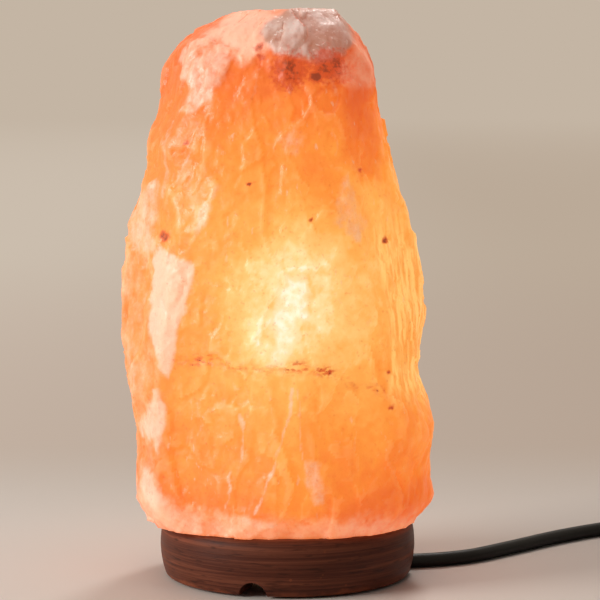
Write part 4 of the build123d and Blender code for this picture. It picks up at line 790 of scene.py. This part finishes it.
def nurbs_line(name, route, radius):
    """A curve with one open spline that bends smoothly round its control points."""
    curve = bpy.data.curves.new(name, "CURVE")
    curve.dimensions = "3D"
    spline = curve.splines.new("NURBS")
    spline.points.add(len(route) - 1)
    for point, place in zip(spline.points, route):
        point.co = (*place, 1.0)
        point.radius = radius
    spline.order_u = 3
    spline.use_endpoint_u = True
    spline.resolution_u = 8
    curve.bevel_depth = 1.0 if radius else 0.0  # the points' own radius sets the thickness
    curve.bevel_resolution = 5
    piece = bpy.data.objects.new(name, curve)
    bpy.context.scene.collection.objects.link(piece)
    return piece


def line_points(route, name="measure"):
    """Points along the smooth line of a route, as a plain array, and its length."""
    piece = nurbs_line(name, route, 0.0)
    mesh = bpy.data.meshes.new_from_object(piece)
    points = np.array([vertex.co[:] for vertex in mesh.vertices])
    bpy.data.meshes.remove(mesh)
    bpy.data.objects.remove(piece)
    return points, float(np.linalg.norm(np.diff(points, axis=0), axis=1).sum())


lead_to_switch = nurbs_line("lead_to_switch", to_switch_route, CORD_RADIUS)
lead_to_plug = nurbs_line("lead_to_plug", to_plug_route, CORD_RADIUS)
switch_length = line_points(to_switch_route)[1]
plug_length = line_points(to_plug_route)[1]
print(f"lead: {switch_length:.3f} m to the switch, {plug_length:.3f} m to the plug")
LEAD_SOLIDS = (
    (lead_to_switch, "cord_to_switch"),
    (lead_to_plug, "cord_to_coil", "cord_coil", "cord_to_plug"),
)
for lead, *solids in LEAD_SOLIDS:
    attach(lead, "root")
    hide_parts(*solids)


# %% [markdown]
# ## The lead inside the base
# From the lampholder the lead hangs down the bore, bends under the base and runs out along the notch.
# The holder can be pulled out of the base; this stretch is made where it lies when the holder is in place.

# %% The inner lead
HOLDER_END = (0.0, 0.0, 27.9 * MM)
inner_route = [
    HOLDER_END,
    (0.0, 0.0, 18.0 * MM),
    (0.0, 0.0, 8.9 * MM),
    out_of_notch(8.1 * MM),
    out_of_notch(16.0 * MM),
    out_of_notch(BASE_RADIUS),
]
inner_curve = nurbs_line("inner_curve", inner_route, CORD_RADIUS)
inner_curve.data.use_fill_caps = True
inner_lead = bpy.data.objects.new("inner_lead_tube", bpy.data.meshes.new_from_object(inner_curve))
bpy.context.scene.collection.objects.link(inner_lead)
bpy.data.objects.remove(inner_curve)
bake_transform(inner_lead)
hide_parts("inner_lead")

# %% [markdown]
# ## Short ways to build materials
# A material is a small graph of nodes. These functions each add one node, or one common step made of
# a few, and give back the socket that the next step reads.

# %% Material helpers


def srgb(red, green, blue):
    """A colour as it looks on screen, 0 to 255, turned into the linear numbers a shader needs."""
    shares = np.array([red, green, blue]) / 255
    linear = np.where(shares < 0.04045, shares / 12.92, ((shares + 0.055) / 1.055) ** 2.4)
    return (*linear.tolist(), 1.0)


def new_material(name):
    """An empty material: its node tree and its Principled shader."""
    material = bpy.data.materials.new(name)
    material.use_nodes = True
    return material, material.node_tree, material.node_tree.nodes["Principled BSDF"]


def feed(tree, socket, value):
    """Sets a socket to a number or colour, or links another socket to it."""
    if isinstance(value, bpy.types.NodeSocket):
        tree.links.new(value, socket)
    else:
        socket.default_value = value


def maths(tree, operation, first, second=0.0, clamp=False):
    """One sum, product or other operation on two numbers or sockets, held to 0 to 1 if clamped."""
    node = tree.nodes.new("ShaderNodeMath")
    node.operation = operation
    node.use_clamp = clamp
    feed(tree, node.inputs[0], first)
    feed(tree, node.inputs[1], second)
    return node.outputs[0]


def mixed(tree, share, first, second, blend="MIX"):
    """A blend of two colours; share is how much of the second."""
    node = tree.nodes.new("ShaderNodeMix")
    node.data_type = "RGBA"
    node.blend_type = blend
    feed(tree, node.inputs[0], share)
    feed(tree, node.inputs[6], first)
    feed(tree, node.inputs[7], second)
    return node.outputs[2]


def stepped(tree, value, low, high, start=0.0, end=1.0):
    """A smooth change from start to end as a value goes from low to high."""
    node = tree.nodes.new("ShaderNodeMapRange")
    node.interpolation_type = "SMOOTHSTEP"
    feed(tree, node.inputs[0], value)
    for socket, number in zip(node.inputs[1:5], (low, high, start, end)):
        socket.default_value = number
    return node.outputs[0]


def ramp(tree, value, stops):
    """A colour that changes along a row of (position, colour) stops."""
    node = tree.nodes.new("ShaderNodeValToRGB")
    feed(tree, node.inputs[0], value)
    points = node.color_ramp.elements
    for _ in range(len(stops) - 2):
        points.new(0.5)
    for point, (position, colour) in zip(points, stops):
        point.position = position
        point.color = colour
    return node.outputs[0]


def own_place(tree, stretch=(1, 1, 1)):
    """The place on the object itself, stretched along its axes."""
    place = tree.nodes.new("ShaderNodeTexCoord").outputs["Object"]
    node = tree.nodes.new("ShaderNodeMapping")
    node.inputs["Scale"].default_value = stretch
    tree.links.new(place, node.inputs["Vector"])
    return node.outputs[0]


def cloud(tree, size, detail=3.0, stretch=(1, 1, 1), roughness=0.5):
    """Noise between 0 and 1 whose lumps are about as wide as size, in metres."""
    node = tree.nodes.new("ShaderNodeTexNoise")
    node.inputs["Scale"].default_value = 1 / size
    node.inputs["Detail"].default_value = detail
    node.inputs["Roughness"].default_value = roughness
    tree.links.new(own_place(tree, stretch), node.inputs["Vector"])
    return node.outputs[0]


def cells(tree, size, output="Color", feature="F1", stretch=(1, 1, 1)):
    """Irregular cells about as wide as size: a random colour for each, or the distance to a seed."""
    node = tree.nodes.new("ShaderNodeTexVoronoi")
    node.feature = feature
    node.inputs["Scale"].default_value = 1 / size
    tree.links.new(own_place(tree, stretch), node.inputs["Vector"])
    return node.outputs[output]


def painted_value(tree, name):
    """A number that was stored on each point of the mesh."""
    node = tree.nodes.new("ShaderNodeAttribute")
    node.attribute_name = name
    return node.outputs["Fac"]


def bumped(tree, shader, height, depth):
    """Makes a surface look uneven by a height between 0 and 1, times a depth in metres."""
    node = tree.nodes.new("ShaderNodeBump")
    node.inputs["Strength"].default_value = 1.0
    node.inputs["Distance"].default_value = depth
    tree.links.new(height, node.inputs["Height"])
    tree.links.new(node.outputs[0], shader.inputs["Normal"])


def jitter(tree, noise, amount):
    """Noise between 0 and 1 turned into a change between minus and plus an amount."""
    return maths(tree, "MULTIPLY", maths(tree, "SUBTRACT", noise, 0.5), 2 * amount)


# %% [markdown]
# ## Glowing salt
# The salt's light is an emission colour that follows the painted glow, from deep orange through amber
# to cream. Its own colour, seen by the room's light, is a pale orange. Frosted flakes scatter more
# of the room's light and let less of the bulb's through, so they look milky.

# %% Salt
GLOW_COLOURS = (
    (0.00, srgb(188, 60, 12)),
    (0.25, srgb(214, 84, 22)),
    (0.42, srgb(232, 112, 32)),
    (0.60, srgb(240, 140, 48)),
    (0.76, srgb(245, 168, 76)),
    (0.88, srgb(248, 196, 116)),
    (0.95, srgb(250, 222, 160)),
    (1.00, srgb(252, 246, 220)),
)
HOT_CREAM = srgb(248, 222, 168)
HOT_WHITE = srgb(255, 250, 222)


def salt_material():
    """Salt lit from inside: its light by the painted glow, and its own colour by flakes and stains."""
    material, tree, shader = new_material("salt")
    glow = painted_value(tree, "glow")
    glow = maths(tree, "ADD", glow, jitter(tree, cloud(tree, 16 * MM, 2.0), 0.10))
    glow = maths(tree, "ADD", glow, jitter(tree, cloud(tree, 3.5 * MM, 3.0), 0.07))
    glow = maths(tree, "ADD", glow, maths(tree, "MULTIPLY", painted_value(tree, "tone"), 0.05))
    # Ridges glow a little more and hollows a little less: painted light and shade.
    edge = painted_value(tree, "edge")
    glow = maths(tree, "ADD", glow, jitter(tree, edge, 0.035), clamp=True)
    light = ramp(tree, glow, GLOW_COLOURS)

    flank = painted_value(tree, "flank")
    streaks = cloud(tree, 2.2 * MM, 2.0, stretch=(1, 1, 0.12))
    flank_light = mixed(tree, stepped(tree, streaks, 0.35, 0.65), srgb(238, 152, 62), srgb(250, 200, 112))
    light = mixed(tree, maths(tree, "MULTIPLY", flank, 0.75), light, flank_light)

    core = painted_value(tree, "core")
    spark = maths(tree, "ADD", core, jitter(tree, cloud(tree, 3.0 * MM, 3.0), 0.35))
    light = mixed(tree, stepped(tree, spark, 0.25, 0.9), light, HOT_CREAM)
    light = mixed(tree, stepped(tree, spark, 0.8, 1.2), light, HOT_WHITE)

    broken = jitter(tree, cloud(tree, 5 * MM, 5.0, roughness=0.7), 0.45)
    streaky = jitter(tree, cloud(tree, 3 * MM, 3.0, stretch=(1, 1, 0.25)), 0.25)
    frost = maths(tree, "ADD", maths(tree, "ADD", painted_value(tree, "milk"), broken), streaky)
    frost = stepped(tree, frost, 0.2, 0.95)
    flecks = stepped(tree, cloud(tree, 2.6 * MM, 3.0, stretch=(1, 1, 0.45)), 0.64, 0.74)
    where = stepped(tree, cloud(tree, 26 * MM, 1.0), 0.45, 0.62)
    flecks = maths(tree, "MULTIPLY", maths(tree, "MULTIPLY", flecks, where), 0.55)
    frost = maths(tree, "MAXIMUM", frost, flecks)
    light = mixed(tree, maths(tree, "MULTIPLY", frost, 0.7), light, srgb(200, 144, 112))
    own = mixed(tree, frost, (0.36, 0.11, 0.04, 1), (0.60, 0.46, 0.39, 1))
    patchy = jitter(tree, cloud(tree, 8 * MM, 5.0, roughness=0.65), 0.6)
    # The veil makes the salt paler, in its own colour and its light: haze, and at the upper left and on the
    # left flank a painted highlight.
    veil_and_highlight = maths(tree, "ADD", painted_value(tree, "haze_and_highlight"), patchy)
    veil_and_highlight = stepped(tree, veil_and_highlight, 0.15, 0.95, 0.0, 0.85)
    own = mixed(tree, veil_and_highlight, own, (0.76, 0.58, 0.48, 1))
    light = mixed(tree, maths(tree, "MULTIPLY", veil_and_highlight, 0.5), light, srgb(212, 150, 112))
    # Ridges are also painted paler in their own colour: a painted highlight where light catches them.
    wear_and_ridge_light = maths(tree, "MULTIPLY", stepped(tree, edge, 0.58, 0.95), 0.22)
    own = mixed(tree, wear_and_ridge_light, own, (0.70, 0.48, 0.36, 1))

    grey = painted_value(tree, "grey")
    blotch = stepped(tree, cloud(tree, 8 * MM, 3.0), 0.3, 0.7)
    dull = mixed(tree, blotch, (0.42, 0.27, 0.21, 1), (0.78, 0.74, 0.69, 1))
    dull = mixed(tree, stepped(tree, cloud(tree, 1.8 * MM, 3.0), 0.6, 0.72), dull, (0.85, 0.80, 0.76, 1))
    own = mixed(tree, grey, own, dull)
    light = mixed(tree, maths(tree, "MULTIPLY", grey, 0.85), light, srgb(128, 78, 60))

    crack = painted_value(tree, "crack")
    grit = stepped(tree, cloud(tree, 2.0 * MM, 4.0, stretch=(0.7, 0.7, 1.4), roughness=0.6), 0.42, 0.60)
    specks = stepped(tree, cells(tree, 5.5 * MM, "Distance"), 0.06, 0.10, 1.0, 0.0)
    rusty = maths(tree, "MULTIPLY", crack, grit)
    light = mixed(tree, maths(tree, "MULTIPLY", rusty, 0.75), light, srgb(208, 92, 34))
    stain = maths(tree, "MULTIPLY", rusty, stepped(tree, cloud(tree, 1.2 * MM, 2.0), 0.55, 0.7))
    stain = maths(tree, "MAXIMUM", stain, maths(tree, "MULTIPLY", specks, 0.25))
    spot = maths(tree, "ADD", painted_value(tree, "rust"), jitter(tree, cloud(tree, 1.6 * MM, 3.0), 0.5))
    blush = stepped(tree, spot, 0.05, 0.55)
    light = mixed(tree, maths(tree, "MULTIPLY", blush, 0.8), light, srgb(182, 52, 14))
    own = mixed(tree, maths(tree, "MULTIPLY", blush, 0.7), own, (0.30, 0.06, 0.02, 1))
    stain = maths(tree, "MAXIMUM", stain, stepped(tree, spot, 0.56, 0.9))
    own = mixed(tree, maths(tree, "MULTIPLY", stain, 0.8), own, (0.16, 0.045, 0.02, 1))
    light = mixed(tree, maths(tree, "MULTIPLY", stain, 0.8), light, srgb(110, 34, 12))

    feed(tree, shader.inputs["Base Color"], own)
    feed(tree, shader.inputs["Emission Color"], light)
    shader.inputs["Emission Strength"].default_value = 1.0
    rough = cloud(tree, 4 * MM, 3.0)
    feed(tree, shader.inputs["Roughness"], stepped(tree, rough, 0.3, 0.7, 0.28, 0.5))
    height = maths(tree, "ADD", cloud(tree, 2.2 * MM, 5.0, roughness=0.6), cells(tree, 4 * MM, "Distance"))
    bumped(tree, shader, height, 0.28 * MM)
    return material


give(crystal, salt_material())

# %% [markdown]
# ## Dark stained wood
# The base is turned on a lathe and stained almost black-brown. Its turning lines run level round the
# side. The stain is worn thin at the foot, where a redder wood shows.

# %% Wood
WORN_FOOT_Z = 3.0 * MM


def wood_material():
    """Stained wood with turning lines round it, dark pores and a rubbed foot."""
    material, tree, shader = new_material("dark_wood")
    lines = cloud(tree, 9 * MM, 4.0, stretch=(0.10, 0.10, 7.0), roughness=0.6)
    pores = cloud(tree, 2.5 * MM, 2.0, stretch=(0.3, 0.3, 2.5))
    colour = mixed(tree, stepped(tree, lines, 0.38, 0.72), srgb(82, 39, 26), srgb(128, 72, 51))
    colour = mixed(tree, stepped(tree, pores, 0.56, 0.70, 0.0, 0.55), colour, srgb(44, 20, 13))
    place = tree.nodes.new("ShaderNodeSeparateXYZ")
    tree.links.new(own_place(tree), place.inputs[0])
    rubbed = maths(tree, "ADD", place.outputs[2], jitter(tree, cloud(tree, 6 * MM, 3.0), 3 * MM))
    wear_and_ridge_light = stepped(tree, rubbed, 0.5 * MM, WORN_FOOT_Z, 0.8, 0.0)
    specks = stepped(tree, cells(tree, 5 * MM, "Distance"), 0.10, 0.16, 0.7, 0.0)
    specks = maths(tree, "MULTIPLY", specks, stepped(tree, cloud(tree, 18 * MM, 1.0), 0.55, 0.65))
    wear_and_ridge_light = maths(tree, "MAXIMUM", wear_and_ridge_light, specks)
    colour = mixed(tree, wear_and_ridge_light, colour, srgb(148, 78, 50))
    feed(tree, shader.inputs["Base Color"], colour)
    feed(tree, shader.inputs["Roughness"], stepped(tree, lines, 0.3, 0.7, 0.42, 0.6))
    shader.inputs["Specular IOR Level"].default_value = 0.18
    bumped(tree, shader, lines, 0.25 * MM)
    return material


give(nodes["wooden_base"], wood_material())

# %% [markdown]
# ## The other materials
# Most of the hard pieces need only a plain colour, a finish and a fine unevenness.

# %% Plain materials


def plain_material(name, colour, roughness, metallic=0.0, grain=0.0, grain_size=1 * MM, coat=0.0, shine=0.5):
    """One colour with a fine grain, given as the grain's depth and size in metres."""
    material, tree, shader = new_material(name)
    shader.inputs["Base Color"].default_value = (*colour, 1)
    shader.inputs["Metallic"].default_value = metallic
    shader.inputs["Coat Weight"].default_value = coat
    shader.inputs["Specular IOR Level"].default_value = shine
    patches = cloud(tree, 8 * MM, 3.0)
    feed(tree, shader.inputs["Roughness"], stepped(tree, patches, 0.3, 0.7, 0.9 * roughness, 1.1 * roughness))
    if grain:
        bumped(tree, shader, cloud(tree, grain_size, 3.0), grain)
    return material


def glass_material(name, colour):
    """Clear glass of one tint, almost perfectly smooth."""
    material, _, shader = new_material(name)
    shader.inputs["Base Color"].default_value = (*colour, 1)
    shader.inputs["Roughness"].default_value = 0.02
    shader.inputs["Transmission Weight"].default_value = 1.0
    return material


def lit_material(name, colour, strength):
    """A material that gives off light of one colour, this many times as strong as white."""
    material, _, shader = new_material(name)
    shader.inputs["Base Color"].default_value = (*colour, 1)
    shader.inputs["Emission Color"].default_value = (*colour, 1)
    shader.inputs["Emission Strength"].default_value = strength
    return material


PVC_BLACK = (0.006, 0.0055, 0.005)
PLASTIC_BLACK = (0.016, 0.016, 0.017)
black_pvc = plain_material("black_pvc", PVC_BLACK, 0.42, grain=0.05 * MM, grain_size=0.8 * MM, shine=0.22)
black_plastic = plain_material("black_plastic", PLASTIC_BLACK, 0.42, grain=0.06 * MM, grain_size=0.5 * MM)
zinc_steel = plain_material("zinc_steel", (0.56, 0.56, 0.55), 0.36, metallic=1.0)
spring_steel = plain_material("spring_steel", (0.44, 0.44, 0.46), 0.26, metallic=1.0)
nickel = plain_material("nickel", (0.68, 0.65, 0.60), 0.2, metallic=1.0)
brass = plain_material("brass", (0.78, 0.56, 0.24), 0.28, metallic=1.0)
MATERIALS = (
    (plain_material("felt", (0.03, 0.03, 0.032), 1.0, grain=0.3 * MM, grain_size=0.6 * MM), "felt_pads"),
    (zinc_steel, "fixing_screws", "shell_screws", "grip_screw", "terminal_screws"),
    (zinc_steel, "rocker_pivot", "grip_nut"),
    (plain_material("white_nylon", (0.74, 0.73, 0.69), 0.5), "wall_plugs"),
    (plain_material("ceramic", (0.78, 0.76, 0.71), 0.25, coat=0.4), "contact_block"),
    (spring_steel, "spring_clip"),
    (nickel, "screw_shell", "bulb_cap", "plug_pins"),
    (brass, "centre_contact", "fixed_contacts", "through_bar", "moving_contact", "tip_contact"),
    (plain_material("black_glass", (0.01, 0.01, 0.012), 0.08), "cap_insulator"),
    (plain_material("brown_pvc", (0.13, 0.05, 0.02), 0.4), "core_brown", "switch_cores_brown"),
    (plain_material("blue_pvc", (0.02, 0.10, 0.36), 0.4), "core_blue", "switch_cores_blue"),
    (black_plastic, "holder_cap", "holder_housing", "cord_grip", "switch_base", "switch_cover", "rocker"),
    (black_plastic, "plug_body", "plug_boot", "pin_sleeves", "cord_tie"),
    (glass_material("clear_glass", (1.0, 1.0, 1.0)), "bulb_glass", "bulb_stem"),
    (plain_material("support_wire", (0.5, 0.5, 0.5), 0.3, metallic=1.0), "lead_wires", "support_wires"),
    (lit_material("filament", (1.0, 0.62, 0.25), 6.0), "filament"),
)
for material, *names in MATERIALS:
    for name in names:
        give(nodes[name], material)
for lead in (lead_to_switch, lead_to_plug, inner_lead):
    give(lead, black_pvc)

# %% [markdown]
# ## Stage and light
# The lamp stands on a wide, plain, pale floor. Near the lamp the floor takes light and shadow. Farther
# off it turns into an even backdrop, which only the camera, glossy surfaces and glass see. The floor's
# paint and the backdrop are a shade darker and pinker to the right, a painted shade for the light
# that comes from the left. The sky behind it has the same colour. From below, the floor is clear, so
# that the lamp's foot can be seen. One soft light stands at the left, one hangs above and one stands
# behind, so the lamp's shadow falls softly towards the front.

# %% Stage
FLOOR_RADIUS = 12.0  # metres, as is every distance on the stage
FLOOR_SIDES = 96
# The floor's paint and the backdrop grow darker from left to right: painted shade for the light from the
# left.
FLOOR_PAINT_SHADED_RIGHT = (srgb(234, 226, 217), srgb(226, 216, 207))  # left and right, as paint
BACKDROP_NEAR_SHADED_RIGHT = (srgb(196, 178, 163), srgb(181, 162, 146))  # left and right, as seen
BACKDROP_FAR_SHADED_RIGHT = (srgb(203, 189, 173), srgb(187, 170, 152))
SHADE_ACROSS = (-0.35, 0.35)  # the colour changes from left to right over this stretch
BEHIND = (0.08, 0.36)  # the floor turns into the backdrop over this distance behind the lamp
AROUND = (0.45, 0.95)  # and over this distance in the other directions
DEEP = (0.3, 1.9)  # and its colour changes over these distances
SKYLINE = (2.5, 9.0)  # and it takes the sky's colour over these
SKY_COLOUR = srgb(196, 181, 164)


def seen_directly(tree):
    """1 for rays from the camera, off glossy surfaces and through glass, and 0 for all others."""
    path = tree.nodes.new("ShaderNodeLightPath")
    seen = maths(tree, "MAXIMUM", path.outputs["Is Camera Ray"], path.outputs["Is Glossy Ray"])
    return maths(tree, "MAXIMUM", seen, path.outputs["Is Transmission Ray"])


def floor_material():
    """Pale paint near the lamp, and an even backdrop farther off. From below it is clear."""
    material, tree, shader = new_material("floor")
    place = tree.nodes.new("ShaderNodeSeparateXYZ")
    tree.links.new(own_place(tree), place.inputs[0])
    x, y = place.outputs[0], place.outputs[1]
    away = tree.nodes.new("ShaderNodeVectorMath")
    away.operation = "LENGTH"
    tree.links.new(own_place(tree), away.inputs[0])
    # Darker to the right, in the paint and in the backdrop: painted shade.
    across = stepped(tree, x, *SHADE_ACROSS)
    feed(tree, shader.inputs["Base Color"], mixed(tree, across, *FLOOR_PAINT_SHADED_RIGHT))
    shader.inputs["Roughness"].default_value = 0.6
    shader.inputs["Specular IOR Level"].default_value = 0.2
    near, far = mixed(tree, across, *BACKDROP_NEAR_SHADED_RIGHT), mixed(tree, across, *BACKDROP_FAR_SHADED_RIGHT)
    glow = tree.nodes.new("ShaderNodeEmission")
    seen = mixed(tree, stepped(tree, away.outputs["Value"], *DEEP), near, far)
    seen = mixed(tree, stepped(tree, away.outputs["Value"], *SKYLINE), seen, SKY_COLOUR)
    tree.links.new(seen, glow.inputs["Color"])
    share = maths(tree, "MAXIMUM", stepped(tree, y, *BEHIND), stepped(tree, away.outputs["Value"], *AROUND))
    mix = tree.nodes.new("ShaderNodeMixShader")
    tree.links.new(maths(tree, "MULTIPLY", share, seen_directly(tree)), mix.inputs[0])
    tree.links.new(shader.outputs[0], mix.inputs[1])
    tree.links.new(glow.outputs[0], mix.inputs[2])
    below = tree.nodes.new("ShaderNodeMixShader")
    tree.links.new(tree.nodes.new("ShaderNodeNewGeometry").outputs["Backfacing"], below.inputs[0])
    tree.links.new(mix.outputs[0], below.inputs[1])
    tree.links.new(tree.nodes.new("ShaderNodeBsdfTransparent").outputs[0], below.inputs[2])
    tree.links.new(below.outputs[0], tree.nodes["Material Output"].inputs["Surface"])
    return material


turn = np.linspace(0, 2 * math.pi, FLOOR_SIDES, endpoint=False)
rim = np.stack([FLOOR_RADIUS * np.cos(turn), FLOOR_RADIUS * np.sin(turn), 0 * turn], axis=1)
floor = new_mesh("floor", rim, [np.arange(FLOOR_SIDES)[None, :]], smooth=False)
give(floor, floor_material())

# %% Light
LIGHTS = (
    # name, place, size, power and colour
    ("above", (0.05, 0.0, 1.50), 0.9, 3.0, (1.0, 0.98, 0.97)),
    ("key", (-1.35, -0.50, 0.66), 0.7, 16.0, (1.0, 0.98, 0.95)),
    ("back", (0.26, 0.85, 1.15), 0.30, 5.0, (1.0, 0.97, 0.94)),
)
WORLD_LIGHT = (0.10, 0.098, 0.096, 1)
LIGHT_AIM = Vector((0, 0, 0.1))


def soft_light(name, place, size, power, colour):
    """A square area light of this size in metres and power in watts, aimed at the lamp."""
    data = bpy.data.lights.new(name, "AREA")
    data.size = size
    data.energy = power
    data.color = colour
    light = bpy.data.objects.new(name, data)
    light.location = place
    light.rotation_euler = (LIGHT_AIM - Vector(place)).to_track_quat("-Z", "Y").to_euler()
    bpy.context.scene.collection.objects.link(light)


for light in LIGHTS:
    soft_light(*light)
world = bpy.data.worlds.new("room")
world.use_nodes = True
sky = mixed(world.node_tree, seen_directly(world.node_tree), WORLD_LIGHT, SKY_COLOUR)
feed(world.node_tree, world.node_tree.nodes["Background"].inputs["Color"], sky)
bpy.context.scene.world = world
bpy.context.scene.view_settings.view_transform = "Standard"
